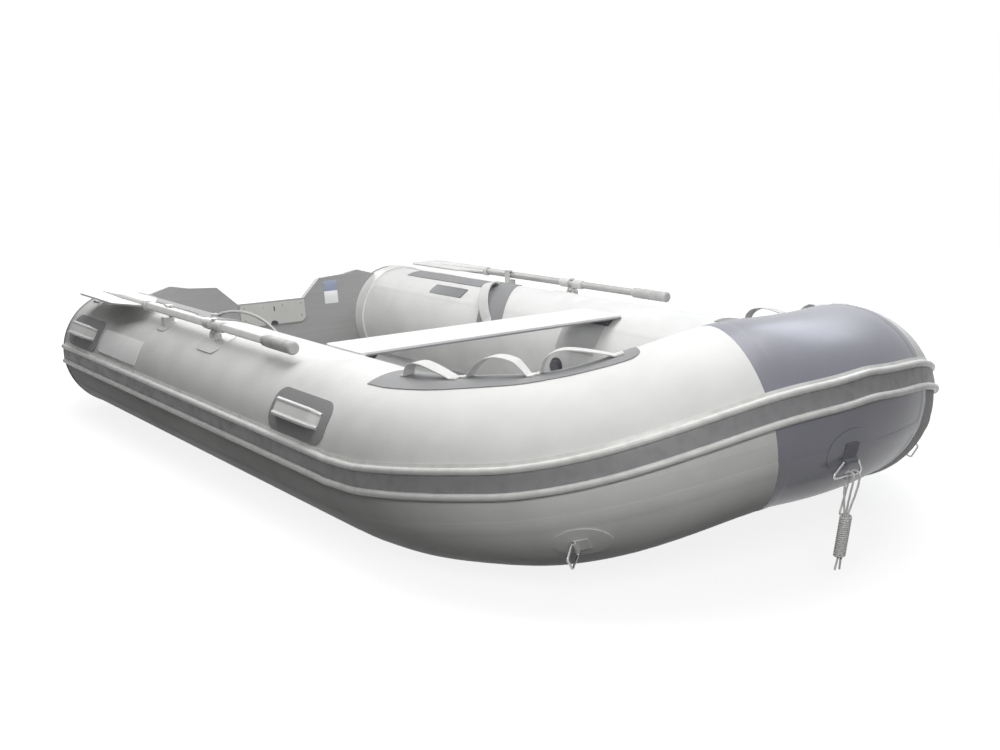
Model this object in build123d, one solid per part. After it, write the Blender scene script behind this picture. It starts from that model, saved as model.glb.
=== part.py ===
from build123d import *
import math
import os

# Rigid inflatable-floor tender with a plywood transom, a bench and two stowed oars.
# Millimetres. +X points to the bow, +Y to port, +Z up. Work coordinates start where
# the bow arc begins, on the centre plane, at the side tubes' underside; the finished
# boat is moved so that the origin is under the middle of its bounding box.

# ---- buoyancy tubes ----
tube_radius = 210.0
tube_spacing = 1174.0        # between the side tubes' centre lines
side_length = 2100.0         # from the start of the bow to the tail cone
tail_length = 135.0
tail_end_radius = 118.0
tail_round = 28.0
bow_straight = 33.0          # of the bow's start, before it curves
shoulder_tuck = 27.0         # bend radius of the bow's shoulders under half the spacing
nose_spread = 38.0           # bend radius of the nose over half the spacing
lower_sheer = 53.0           # rise of the centre line along the shoulders
lower_sheer_start = -170.0   # along the centre line, ahead of the start of the bow
lower_sheer_end = 425.0
upper_sheer = 113.0          # further rise to the nose
upper_sheer_start = 295.0
upper_sheer_end = 815.0
bow_seam_run = 737.0         # along the centre line, where the dark bow section starts
station_step = 60.0          # between the sections that carry the bow's curve
skin_gap = 0.3               # between a piece and the curved skin that it lies on

# ---- rubbing strake ----
strake_aft_end = 2085.0      # aft of the bow arc's start
strake_low_angle = 1.3       # of its middle round the tube, along the side
strake_climb = 20.2          # further climb to the nose
strake_band_width = 36.0
strake_band_thickness = 4.0
bead_width = 16.0
bead_height = 13.0
bead_flange_width = 8.0
bead_flange_thickness = 1.6
strake_joint = 0.3           # between the band and each bead

# ---- hull bottom ----
bottom_seam_angle = -110.0   # round the tube, where the bottom is glued
bottom_thickness = 5.0
keel_clearance = 6.5         # level keel over the ground
keel_bend_start = 150.0
keel_climb = 120.0
bottom_seat = 0.7            # sheet to the tube's skin
forefoot_run = 875.0         # along the tubes' centre line, where the bottom ends
keel_guard_width = 50.0
keel_guard_thickness = 4.0
guard_end_run = 640.0

# ---- floor ----
floor_height = 68.0
floor_thickness = 12.0
floor_end_gap = 3.0          # floor to the transom's flange
floor_fore = 0.0
floor_panel_count = 4
floor_joint = 0.4
bow_board_length = 300.0
channel_wall = 3.0
channel_depth = 24.0

# ---- transom ----
transom_inset = 80.0         # of the transom's foot from the tail cones
transom_rake = 6.0
transom_thickness = 28.0
transom_foot_z = 6.0         # before the foot is cut level over the bottom
notch_half_width = 143.0
notch_drop = 89.0            # under the tubes' crest
horn_inner_y = 221.0
horn_drop = 15.0
horn_rise = 7.0              # of its upper edge toward the tube
horn_outer_y = 331.0
shoulder_inset = 185.0       # from the side tube's centre line
shoulder_rise = 6.0          # over the tubes' crest
transom_corner = 10.0
pad_half_width = 140.0
pad_height = 88.0
pad_thickness = 6.0
pad_edge_drop = 6.0          # under the notch's edge
outer_pad_half_width = 165.0
outer_pad_height = 190.0
drain_radius = 16.0
flange_width = 58.0
flange_thickness = 6.0
flange_top_angle = 62.0
flange_low_angle = 236.0

# ---- bench ----
bench_front = -496.0
bench_width = 200.0
bench_drop = 18.0            # of its top under the tubes' crest
bench_thickness = 10.0
bench_inset = 99.0           # of its end from the side tube's centre line
bracket_width = 150.0
bracket_reach = 62.0
bracket_drop = 44.0
bench_patch_width = 190.0
bench_patch_x = -628.0
bench_patch_top_angle = 128.0
bench_patch_low_angle = 163.0

# ---- fabric patches and handles ----
patch_thickness = 2.0
handle_patch_length = 285.0
handle_patch_height = 112.0
handle_patch_corner = 38.0
handle_angle = 29.0
handle_fore_x = -317.0
handle_aft_x = -1908.0
handle_length = 196.0
handle_width = 44.0
handle_standoff = 20.0
handle_thickness = 6.0
label_length = 340.0
label_height = 80.0
label_x = -1568.0
label_angle = 27.5

# ---- grab straps on the bow shoulders ----
shoulder_patch_start = -140.0
shoulder_patch_end = 600.0
shoulder_aft_width = 136.0
shoulder_fore_width = 100.0
shoulder_aft_angle = 84.0       # of the patch's middle round the tube
shoulder_fore_angle = 91.0
shoulder_corner = 34.0
strap_feet = ((-46.0, 134.0), (174.0, 334.0), (373.0, 551.0))
strap_rises = (31.0, 42.0, 40.0)
strap_width = 30.0
strap_thickness = 3.0
strap_seat = 1.0

# ---- inside handle bands, wear pads, plate and valve ----
band_x = -1161.0                # of its middle at band_y, inboard of the tube's centre line
band_y = 135.0
band_width = 120.0
band_skew = 36.5                # it leans aft on its way up
band_top_angle = 76.0
band_low_angle = 163.0
band_strap_width = 38.0
band_strap_top = (-1281.0, 101.0)  # place along the boat and angle
band_strap_low = (-1137.0, 149.0)
band_strap_rise = 24.0
wear_pad_length = 540.0
wear_pad_aft_x = -1850.0
wear_pad_low_angle = 90.0
wear_pad_high_angle = 109.0
plate_x = -1478.0
plate_angle = 124.0
plate_length = 216.0
plate_height = 50.0
valve_x = -707.0
valve_angle = 179.0
valve_radius = 30.0
valve_cap_radius = 21.0
valve_height = 14.0

# ---- oars ----
oar_outset = 100.0           # of the shaft from the side tube's centre line
oar_rise = 21.0              # of the shaft over the tubes' crest
oar_grip_end = -490.0
oar_length = 1480.0
shaft_radius = 12.5
grip_radius = 17.0
grip_length = 165.0
grip_end_wall = 12.0
grip_round = 5.0
blade_length = 450.0
blade_width = 150.0
blade_thickness = 7.0
blade_neck_width = 46.0
blade_neck_length = 110.0
blade_corner = 21.0
blade_edge = 2.0
socket_wall = 3.0            # of the blade's socket round the shaft
socket_depth = 0.45          # of the blade's length that the shaft enters
socket_collar = 10.0         # socket ahead of the blade's neck
blade_rib_radius = 11.0
rowlock_x = -986.0
pivot_drop = 24.0            # the dip pin under the shaft's axis
dip_pin_radius = 4.0
stud_radius = 4.5
pin_fit = 0.1
socket_fit = 0.02            # shaft in the grip and in the blade
rocker_radius = 6.5
rocker_length = 27.0
ear_gap = 0.5
ear_thickness = 6.0
ear_radius = 8.0
stud_flange_radius = 9.0
cap_radius = 8.5
cap_height = 7.0
cap_clearance = 1.0
rowlock_pad_length = 140.0
rowlock_pad_width = 96.0
clip_x = -1360.0
clip_length = 26.0
clip_clearance = 1.0
clip_wall = 6.0
clip_foot_gap = 8.0
clip_foot_drop = 42.0        # of its post's end under the tubes' crest
clip_pad_length = 70.0
clip_pad_width = 56.0
clip_lip = 12.0              # over the shaft's inboard side

# ---- rings and rope ----
ring_play = 0.3
ring_corner = 6.0
tab_thickness = 2.4
tab_seat = 0.1               # a flat tab over the round skin
side_ring_run = 418.0
side_ring_angle = -34.5
side_ring_wire = 2.5
side_ring_bar = 44.0
side_ring_far_side = 36.0
side_ring_height = 42.0
side_ring_lean = 16.0        # aft of straight out from the skin
side_tab_width = 32.0
side_tab_length = 30.0
ring_patch_radius = 44.0
tow_ring_run = 891.0
tow_ring_angle = -15.0
tow_ring_wire = 3.0
tow_ring_bar = 46.0
tow_ring_far_side = 100.0
tow_ring_height = 31.0
tow_ring_shift = -12.0       # of its far side along the bar, to starboard
tow_tab_width = 38.0
tow_tab_length = 40.0
tow_patch_radius = 52.0
hank_length = 232.0
hank_lean = 26.0
hank_lean_way = (-0.65, -0.76)
hank_shift = 24.0            # along the ring, from its middle
hank_top_width = 34.0
hank_top_depth = 16.0
hank_throat_depth = 9.0      # rope over the ring's lower side
hank_wrap_radius = 13.0
hank_wrap_start = 100.0
hank_wrap_length = 95.0

# ---- worked-out places ----
half_spacing = tube_spacing / 2
shoulder_radius = half_spacing - shoulder_tuck
nose_radius = half_spacing + nose_spread
shoulder_turn = math.acos(shoulder_tuck / (shoulder_tuck + nose_spread))
nose_start_run = bow_straight + shoulder_radius * shoulder_turn
nose_run = nose_start_run + nose_radius * (math.pi / 2 - shoulder_turn)
tube_top = 2 * tube_radius
transom_foot_x = transom_inset - side_length
notch_height = tube_top - notch_drop
horn_height = tube_top - horn_drop
shoulder_height = tube_top + shoulder_rise
shoulder_y = half_spacing - shoulder_inset
floor_aft = transom_foot_x + flange_width + floor_end_gap
bench_top = tube_top - bench_drop
bench_half_length = half_spacing - bench_inset
oar_y = half_spacing + oar_outset
oar_z = tube_top + oar_rise


def limit(value, low, high):
    return min(max(value, low), high)


def smooth(value):
    t = limit(value, 0.0, 1.0)
    return t * t * (3.0 - 2.0 * t)


def centre(run):
    """Point of the tubes' centre line, run from the starboard start of the bow."""
    near = min(run, 2.0 * nose_run - run)
    bend = limit((near - bow_straight) / shoulder_radius, 0.0, shoulder_turn)
    turn = shoulder_turn + max(near - nose_start_run, 0.0) / nose_radius
    x = min(near, bow_straight) + shoulder_radius * math.sin(bend)
    x += nose_radius * (math.sin(turn) - math.sin(shoulder_turn))
    half = nose_radius * math.cos(turn)
    half += shoulder_radius * (math.cos(bend) - math.cos(shoulder_turn))
    z = tube_radius
    z += lower_sheer * smooth((near - lower_sheer_start) / (lower_sheer_end - lower_sheer_start))
    z += upper_sheer * smooth((near - upper_sheer_start) / (upper_sheer_end - upper_sheer_start))
    return Vector(x, -half if run < nose_run else half, z)


def section_plane(run):
    """Plane across the tube there: local x outboard, local y up."""
    along = (centre(run + 0.5) - centre(run - 0.5)).normalized()
    outboard = along.cross(Vector(0, 0, 1)).normalized()
    return Plane(origin=centre(run), x_dir=outboard, z_dir=along * -1.0)


def polar(radius, angle):
    return (radius * math.cos(math.radians(angle)), radius * math.sin(math.radians(angle)))


def sector(inner, outer, low, high):
    """Slice of a ring between two angles round the tube."""
    middle = (low + high) / 2
    outline = (
        ThreePointArc(polar(inner, low), polar(inner, middle), polar(inner, high))
        + Line(polar(inner, high), polar(outer, high))
        + ThreePointArc(polar(outer, high), polar(outer, middle), polar(outer, low))
        + Line(polar(outer, low), polar(inner, low))
    )
    return make_face(outline)


def span(width):
    """Angle round the tube's skin that takes up a width."""
    return math.degrees(width / tube_radius)


def stations(start, stop, step=station_step):
    count = max(2, math.ceil(abs(stop - start) / step) + 1)
    return [start + (stop - start) * i / (count - 1) for i in range(count)]


def loft_runs(section, runs):
    """Solid through the section faces at these runs; section(run) is in the local plane."""
    wires = [(section_plane(run) * section(run)).faces()[0].outer_wire() for run in runs]
    return Solid.make_loft(wires, len(runs) == 2)


def along_boat(section, aft_end):
    """One piece from one quarter round the bow to the other."""
    pieces = [
        loft_runs(section, [-aft_end, lower_sheer_start]),
        loft_runs(section, stations(lower_sheer_start, 2 * nose_run - lower_sheer_start)),
        loft_runs(section, [2 * nose_run - lower_sheer_start, 2 * nose_run + aft_end]),
    ]
    return pieces[0].fuse(pieces[1], pieces[2])


def mirrored(shape):
    return shape.mirror(Plane.XZ)


def side_cylinder(radius):
    """Starboard side tube's cylinder, longer than the parts that it trims."""
    plane = Plane(origin=(-2 * side_length, -half_spacing, tube_radius), z_dir=(1, 0, 0))
    return Solid.make_cylinder(radius, 4 * side_length, plane)


def side_shell(low, high, length, x, thickness=patch_thickness, lift=0.0):
    """Piece of sheet on the straight starboard tube between two angles."""
    base = tube_radius + skin_gap + lift
    face = sector(base, base + thickness, low, high)
    plane = Plane(
        origin=(x + length / 2, -half_spacing, tube_radius), x_dir=(0, -1, 0), z_dir=(-1, 0, 0)
    )
    return extrude(plane * face, length)


def radial_plane(run, angle, radius=tube_radius):
    """Plane on the skin: local x along the tube to the bow, local z outward."""
    across = section_plane(run)
    outward = across.x_dir * polar(1, angle)[0] + across.y_dir * polar(1, angle)[1]
    return Plane(origin=across.origin + outward * radius, x_dir=across.z_dir * -1.0, z_dir=outward)


def inner_half_width(z):
    """Distance from the centre plane to the side tube's inner skin at a height."""
    return half_spacing - math.sqrt(tube_radius**2 - (z - tube_radius) ** 2)


# ---- tubes ----
def tube_circle(run):
    return Circle(tube_radius)


def side_tube():
    straight = loft_runs(tube_circle, [-side_length, lower_sheer_start])
    shoulder = loft_runs(tube_circle, stations(lower_sheer_start, bow_seam_run))
    return straight.fuse(shoulder)


def bow_tube():
    return loft_runs(tube_circle, stations(bow_seam_run, 2 * nose_run - bow_seam_run, station_step / 2))


def tail_cone():
    start = section_plane(-side_length)
    plane = Plane(origin=start.origin, z_dir=(-1, 0, 0))
    cone = Solid.make_cone(tube_radius, tail_end_radius, tail_length, plane)
    rim = cone.edges().filter_by(GeomType.CIRCLE).sort_by(Axis.X)[0]
    return cone.fillet(tail_round, [rim])


# ---- strake ----
def strake_angle(run):
    near = limit(min(run, 2 * nose_run - run) / nose_run, 0.0, 1.0)
    return strake_low_angle + strake_climb * near


def strake_band(run):
    middle = strake_angle(run)
    half = span(strake_band_width / 2)
    base = tube_radius + skin_gap
    return sector(base, base + strake_band_thickness, middle - half, middle + half)


def bead_face(middle, flange_side):
    """Rounded bead standing on the skin, with a thin flange on its upper side."""
    half = span(bead_width / 2)
    base = tube_radius + skin_gap
    foot = base + bead_height * 0.45
    crown = base + bead_height
    low, high = middle - half, middle + half
    edge = high + span(bead_flange_width) if flange_side else high
    thin = base + bead_flange_thickness
    outline = ThreePointArc(polar(base, low), polar(base, (low + edge) / 2), polar(base, edge))
    if flange_side:
        outline += Line(polar(base, edge), polar(thin, edge))
        outline += ThreePointArc(polar(thin, edge), polar(thin, (edge + high) / 2), polar(thin, high))
        outline += Line(polar(thin, high), polar(foot, high))
    else:
        outline += Line(polar(base, high), polar(foot, high))
    outline += ThreePointArc(polar(foot, high), polar(crown, middle), polar(foot, low))
    outline += Line(polar(foot, low), polar(base, low))
    return make_face(outline)


def bead_offset():
    return span(strake_band_width / 2 + strake_joint + bead_width / 2)


def upper_bead(run):
    return bead_face(strake_angle(run) + bead_offset(), True)


def lower_bead(run):
    return bead_face(strake_angle(run) - bead_offset(), False)


# ---- hull bottom ----
def keel_z(x):
    reach = polar(tube_radius, bottom_seam_angle)[0]
    end = centre(nose_run).X + reach
    t = limit((x - keel_bend_start) / (end - keel_bend_start), 0.0, 1.0)
    return keel_clearance + keel_climb * t * t


def bottom_edge(run):
    """Where the bottom's upper side meets the tube, as x, half width and height."""
    reach, drop = polar(tube_radius + bottom_seat, bottom_seam_angle)
    point = section_plane(run).from_local_coords(Vector(reach, drop, 0))
    return point.X, -point.Y, point.Z


def bottom_section(run):
    """Shallow V of the bottom sheet in a plane across the boat."""
    x, y, top = bottom_edge(run)
    low = top - bottom_thickness
    ridge = min(keel_z(x), low)
    points = [(-y, low), (0, ridge), (y, low), (y, top), (0, ridge + bottom_thickness), (-y, top)]
    return Wire.make_polygon([Vector(x, py, pz) for py, pz in points], close=True)


def guard_section(run):
    """Strip under the keel line that follows the same V."""
    x, y, top = bottom_edge(run)
    low = top - bottom_thickness
    ridge = min(keel_z(x), low)
    half = keel_guard_width / 2
    side = ridge + (low - ridge) * half / y - skin_gap
    ridge -= skin_gap
    thick = keel_guard_thickness
    points = [(-half, side - thick), (0, ridge - thick), (half, side - thick)]
    points += [(half, side), (0, ridge), (-half, side)]
    return Wire.make_polygon([Vector(x, py, pz) for py, pz in points], close=True)


def under_boat(section, end_run):
    """Piece under the boat from the transom to the station next to a run round the bow."""
    aft = transom_foot_x - transom_thickness
    straight = Solid.make_loft([section(aft), section(lower_sheer_start)], True)
    runs = [run for run in stations(lower_sheer_start, forefoot_run) if run < end_run + station_step / 2]
    forefoot = Solid.make_loft([section(run) for run in runs], True)
    return straight.fuse(forefoot)


def hull_bottom():
    return under_boat(bottom_section, forefoot_run)


def keel_guard():
    return under_boat(guard_section, guard_end_run)


# ---- floor ----
def channel_height():
    return floor_thickness + 2 * (channel_wall + skin_gap)


def channel_outer_y():
    top = floor_height - channel_wall - skin_gap + channel_height()
    return inner_half_width(top) - 2 * skin_gap


def panel_half_width():
    return channel_outer_y() - channel_wall - skin_gap


def floor_panels():
    pitch = (floor_fore - floor_aft) / floor_panel_count
    panels = []
    for i in range(floor_panel_count):
        low = floor_aft + i * pitch
        body = Box(
            pitch - floor_joint,
            2 * panel_half_width(),
            floor_thickness,
            align=(Align.MIN, Align.CENTER, Align.MIN),
        )
        panels.append(Pos(low, 0, floor_height) * body)
    return panels


def bow_board():
    radius = panel_half_width() - channel_depth
    disc = Cylinder(radius, floor_thickness, align=(Align.CENTER, Align.CENTER, Align.MIN))
    forward = (Align.MIN, Align.CENTER, Align.CENTER)
    window = Box(bow_board_length, 4 * radius, 4 * floor_thickness, align=forward)
    return Pos(floor_fore, 0, floor_height) * (disc & window)


def side_channel():
    height = channel_height()
    length = floor_fore - floor_aft
    low = floor_height - channel_wall - skin_gap
    outer = Box(length, channel_depth, height, align=(Align.MIN, Align.MIN, Align.MIN))
    slot = Box(
        length, channel_depth, height - 2 * channel_wall, align=(Align.MIN, Align.MIN, Align.MIN)
    )
    channel = outer - Pos(0, channel_wall, channel_wall) * slot
    return Pos(floor_aft, -channel_outer_y(), low) * channel


# ---- transom ----
def raked(shape):
    """Lean an upright piece aft about the transom's foot."""
    foot = Axis((transom_foot_x, 0, transom_foot_z), (0, 1, 0))
    return shape.rotate(foot, -transom_rake)


def upright_plane():
    """Front face of the transom before it leans: local x to port, local y up."""
    return Plane(origin=(transom_foot_x, 0, 0), x_dir=(0, 1, 0), z_dir=(1, 0, 0))


def transom_board():
    half = [
        (notch_half_width, notch_height),
        (horn_inner_y, horn_height),
        (horn_outer_y, horn_height + horn_rise),
        (shoulder_y, shoulder_height),
        (half_spacing - tube_radius * 0.36, tube_radius + tube_radius * 0.88),
        (half_spacing - tube_radius * 0.13, transom_foot_z),
    ]
    points = half + [(-y, z) for y, z in reversed(half)]
    face = make_face(Polyline(*points, close=True))
    tops = [v for v in face.vertices() if notch_height - 1 < v.Y < shoulder_height + 1]
    tops = [v for v in tops if abs(v.X) < shoulder_y + 1]
    face = fillet(tops, transom_corner)
    board = raked(extrude(upright_plane() * face, -transom_thickness))
    hung = (Align.CENTER, Align.CENTER, Align.MAX)
    under = Box(20 * transom_thickness, 4 * half_spacing, tube_radius, align=hung)
    board -= Pos(transom_foot_x, 0, bottom_edge(-side_length)[2] + skin_gap) * under
    cutter = side_cylinder(tube_radius + skin_gap)
    return board - cutter - mirrored(cutter)


def pad_face(half_width, height, corner):
    top = notch_height - pad_edge_drop
    middle = top - height / 2
    face = Pos(0, middle) * Rectangle(2 * half_width, height)
    lower = face.vertices().sort_by(Axis.Y)[:2]
    face = fillet(lower, corner)
    return face, top - height


def inner_pad():
    face, low = pad_face(pad_half_width, pad_height, 26.0)
    face -= Pos(0, low) * Circle(drain_radius)
    return raked(extrude(upright_plane() * face, pad_thickness))


def outer_pad():
    face, low = pad_face(outer_pad_half_width, outer_pad_height, 30.0)
    plane = upright_plane().offset(-transom_thickness - pad_thickness)
    return raked(extrude(plane * face, pad_thickness))


def drain_fitting():
    """Half-round cap in the pad's lower edge."""
    low = notch_height - pad_edge_drop - pad_height
    face = Pos(0, low) * Circle(drain_radius - 1.0)
    face -= Pos(0, low - drain_radius) * Rectangle(4 * drain_radius, 2 * drain_radius)
    return raked(extrude(upright_plane() * face, pad_thickness + 2.0))


def transom_flange():
    """Moulded profile that joins the transom's front edge to the starboard tube."""
    base = tube_radius + skin_gap
    face = sector(base, base + flange_thickness, flange_top_angle, flange_low_angle)
    plane = Plane(
        origin=(transom_foot_x + 4 * flange_width, -half_spacing, tube_radius),
        x_dir=(0, -1, 0),
        z_dir=(-1, 0, 0),
    )
    ring = extrude(plane * face, 12 * flange_width)
    forward = (Align.MIN, Align.CENTER, Align.CENTER)
    slab = Box(flange_width, 8 * tube_radius, 8 * tube_radius, align=forward)
    slab = raked(Pos(transom_foot_x + skin_gap, -half_spacing, 0) * slab)
    return ring & slab


# ---- bench ----
def bench():
    board = Box(
        bench_width, 2 * bench_half_length, bench_thickness, align=(Align.MAX, Align.CENTER, Align.MAX)
    )
    board = fillet(board.edges().filter_by(Axis.Z), 12.0)
    board = Pos(bench_front, 0, bench_top) * board
    cutter = side_cylinder(tube_radius + 2 * skin_gap + patch_thickness)
    return board - cutter - mirrored(cutter)


def bench_patch():
    return side_shell(
        bench_patch_top_angle, bench_patch_low_angle, bench_patch_width, bench_patch_x
    )


def bench_bracket():
    """Wedge that carries the bench's end on the tube."""
    top = bench_top - bench_thickness - skin_gap
    y = -inner_half_width(top)
    points = [(y - 20, top), (y + bracket_reach, top), (y + bracket_reach, top - 5)]
    points += [(y + 18, top - bracket_drop), (y - 20, top - bracket_drop)]
    start = bench_front - (bench_width + bracket_width) / 2
    plane = Plane(origin=(start, 0, 0), x_dir=(0, 1, 0), z_dir=(1, 0, 0))
    wedge = extrude(plane * make_face(Polyline(*points, close=True)), bracket_width)
    return wedge - side_cylinder(tube_radius + 2 * skin_gap + patch_thickness)


# ---- patches and handles on the straight sides ----
def rounded_patch(x, angle, length, height, corner, thickness=patch_thickness, lift=0.0):
    base = tube_radius + skin_gap + lift
    shell = side_cylinder(base + thickness) - side_cylinder(base)
    outline = radial_plane(x, angle, tube_radius / 2) * RectangleRounded(length, height, corner)
    prism = extrude(outline, tube_radius)
    return shell & prism


def handle_patch(x):
    return rounded_patch(
        x, handle_angle, handle_patch_length, handle_patch_height, handle_patch_corner
    )


def side_handle(x):
    """Wide moulded grip that stands off its patch on two feet."""
    plane = radial_plane(x, handle_angle, tube_radius)
    top = handle_standoff + handle_thickness
    half = handle_length / 2
    points = [(-half - 12, -4), (-half + 10, top), (half - 10, top), (half + 12, -4)]
    points += [(half - 12, -4), (half - 22, handle_standoff)]
    points += [(-half + 22, handle_standoff), (-half + 12, -4)]
    side = Plane(origin=plane.origin, x_dir=plane.x_dir, z_dir=plane.y_dir * -1.0)
    body = extrude(side * make_face(Polyline(*points, close=True)), handle_width / 2, both=True)
    return body - side_cylinder(tube_radius + 2 * skin_gap + patch_thickness)


# ---- bow shoulder patch and straps ----
def shoulder_angle(run):
    """Of the patch's middle round the tube."""
    share = smooth((run + 50.0) / 500.0)
    return shoulder_aft_angle + (shoulder_fore_angle - shoulder_aft_angle) * share


def shoulder_patch():
    """Broad strip over the tube's crest: square aft, narrower and round forward."""

    def section(run):
        width = shoulder_aft_width
        width += (shoulder_fore_width - shoulder_aft_width) * smooth((run - 100.0) / 350.0)
        left = limit((shoulder_patch_end - run) / shoulder_corner, 0.0, 1.0)
        width -= 2 * shoulder_corner * (1.0 - math.sqrt(1.0 - (1.0 - left) ** 2))
        half = span(width / 2)
        base = tube_radius + skin_gap
        middle = shoulder_angle(run)
        return sector(base, base + patch_thickness, middle - half, middle + half)

    straight = stations(shoulder_patch_start, shoulder_patch_end - shoulder_corner)
    corner = [shoulder_patch_end - shoulder_corner * (1 - math.sin(i * math.pi / 8)) for i in (1, 2, 3)]
    return loft_runs(section, straight + corner + [shoulder_patch_end])


def arched_strap(first, last, rise, width):
    """Webbing arch between two places on the skin, each a run and an angle."""
    lift = tube_radius + skin_gap + patch_thickness + strap_seat
    start = radial_plane(*first, lift)
    end = radial_plane(*last, lift)
    crown = radial_plane((first[0] + last[0]) / 2, (first[1] + last[1]) / 2, lift)
    chord = end.origin - start.origin
    x_dir = chord.normalized()
    plane = Plane(origin=start.origin, x_dir=x_dir, z_dir=x_dir.cross(crown.z_dir).normalized())
    sag = (crown.origin - (start.origin + end.origin) * 0.5).dot(plane.y_dir)
    top = sag + rise
    far, middle = chord.length, chord.length / 2
    foot = strap_thickness * 1.3
    outline = ThreePointArc((0, 0), (middle, top), (far, 0))
    outline += Line((far, 0), (far - foot, 0))
    outline += ThreePointArc((far - foot, 0), (middle, top - strap_thickness), (foot, 0))
    outline += Line((foot, 0), (0, 0))
    return extrude(plane * make_face(outline), width / 2, both=True)


def shoulder_strap(i):
    start, end = strap_feet[i]
    first = (start, shoulder_angle(start))
    last = (end, shoulder_angle(end))
    return arched_strap(first, last, strap_rises[i], strap_width)


# ---- inside handle band ----
def band_strap():
    arch = arched_strap(band_strap_top, band_strap_low, band_strap_rise, band_strap_width)
    return arch - side_cylinder(tube_radius + patch_thickness + 2 * skin_gap)


def inside_band():
    """Strip round the tube that leans aft on its way up."""
    ring = side_shell(band_top_angle, band_low_angle, 8 * band_width, band_x)
    slab = Box(band_width, 8 * tube_radius, 8 * tube_radius)
    place = Location((band_x, band_y - half_spacing, tube_radius), (0, 0, -band_skew))
    return ring & slab.moved(place)


def wear_pad():
    """Strip under the stowed blade, cut to meet the band."""
    shell = side_shell(
        wear_pad_low_angle, wear_pad_high_angle, wear_pad_length * 2, wear_pad_aft_x + wear_pad_length
    )
    fore = (Align.MIN, Align.CENTER, Align.CENTER)
    slab = Box(4 * wear_pad_length, 8 * wear_pad_length, 8 * tube_radius, align=fore)
    edge = -band_width / 2 - skin_gap
    place = Location((band_x, band_y - half_spacing, tube_radius), (0, 0, -band_skew))
    return shell - (Pos(edge, 0, 0) * slab).moved(place)


def info_plate():
    return rounded_patch(plate_x, plate_angle, plate_length, plate_height, 8.0)


def air_valve():
    plane = radial_plane(valve_x, valve_angle, tube_radius - 6.0)
    flange = Solid.make_cylinder(valve_radius, 6.0 + 4.0, plane)
    cap = Solid.make_cylinder(valve_cap_radius, 6.0 + valve_height, plane)
    return flange.fuse(cap) - side_cylinder(tube_radius + skin_gap)


# ---- oars ----
def pivot_z():
    return oar_z - pivot_drop


def shaft_start():
    return oar_grip_end - grip_length + grip_end_wall


def shaft_stop():
    return oar_grip_end - oar_length + blade_length * (1.0 - socket_depth)


def oar_shaft():
    plane = Plane(origin=(shaft_start(), -oar_y, oar_z), z_dir=(-1, 0, 0))
    shaft = Solid.make_cylinder(shaft_radius, shaft_start() - shaft_stop(), plane)
    across = Plane(origin=(rowlock_x, -oar_y, oar_z - 2 * shaft_radius))
    hole = Solid.make_cylinder(stud_radius + pin_fit, 4 * shaft_radius, across)
    return shaft - hole


def oar_grip():
    plane = Plane(origin=(oar_grip_end, -oar_y, oar_z), z_dir=(-1, 0, 0))
    grip = Solid.make_cylinder(grip_radius, grip_length, plane)
    grip = grip.fillet(grip_round, grip.edges().filter_by(GeomType.CIRCLE))
    socket = Plane(origin=(shaft_start(), -oar_y, oar_z), z_dir=(-1, 0, 0))
    return grip - Solid.make_cylinder(shaft_radius + socket_fit, grip_length, socket)


def oar_blade():
    """Flat blade, level while stowed, with a round rib that takes the shaft."""
    tip = oar_grip_end - oar_length
    neck = tip + blade_length
    half, narrow = blade_width / 2, blade_neck_width / 2
    points = [(tip, -half), (neck - blade_neck_length, -half), (neck, -narrow)]
    points += [(neck, narrow), (neck - blade_neck_length, half), (tip, half)]
    face = make_face(Polyline(*points, close=True))
    face = fillet(face.vertices(), blade_corner)
    plane = Plane(origin=(0, -oar_y, oar_z - blade_thickness / 2))
    plate = extrude(plane * face, blade_thickness)
    rims = plate.edges().group_by(Axis.Z)
    plate = fillet(rims[0] + rims[-1], blade_edge)
    stop = shaft_stop()
    collar = Plane(origin=(neck + socket_collar, -oar_y, oar_z), z_dir=(-1, 0, 0))
    length = neck - stop + 2 * socket_collar
    socket = Solid.make_cylinder(shaft_radius + socket_wall, length, collar)
    rib = Solid.make_cone(
        shaft_radius + socket_wall,
        blade_rib_radius * 0.5,
        blade_length * (1.0 - socket_depth) - blade_corner * 2,
        Plane(origin=(stop - socket_collar, -oar_y, oar_z), z_dir=(-1, 0, 0)),
    )
    bore = Solid.make_cylinder(shaft_radius + socket_fit, neck - stop + socket_collar, collar)
    return plate.fuse(socket, rib) - bore


def rowlock_base():
    angle = math.degrees(math.acos((oar_y - half_spacing) / tube_radius))
    pad = rounded_patch(rowlock_x, angle, rowlock_pad_length, rowlock_pad_width, 30.0, 3.0)
    ears = []
    for side in (-1, 1):
        inner = rocker_length / 2 + ear_gap
        start = rowlock_x + side * inner + (0 if side > 0 else -ear_thickness)
        plane = Plane(origin=(start, -oar_y, pivot_z()), x_dir=(0, 1, 0), z_dir=(1, 0, 0))
        face = Circle(ear_radius)
        face += Pos(0, -ear_radius) * Rectangle(2.6 * ear_radius, 2 * ear_radius)
        ears.append(extrude(plane * face, ear_thickness))
    whole = pad.fuse(ears[0], ears[1]) - side_cylinder(tube_radius + skin_gap)
    pin_plane = Plane(origin=(rowlock_x - rocker_length, -oar_y, pivot_z()), z_dir=(1, 0, 0))
    return whole - Solid.make_cylinder(dip_pin_radius + pin_fit, 2 * rocker_length, pin_plane)


def dip_pin():
    half = rocker_length / 2 + ear_gap + ear_thickness + 2.0
    plane = Plane(origin=(rowlock_x - half, -oar_y, pivot_z()), z_dir=(1, 0, 0))
    return Solid.make_cylinder(dip_pin_radius, 2 * half, plane)


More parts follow.
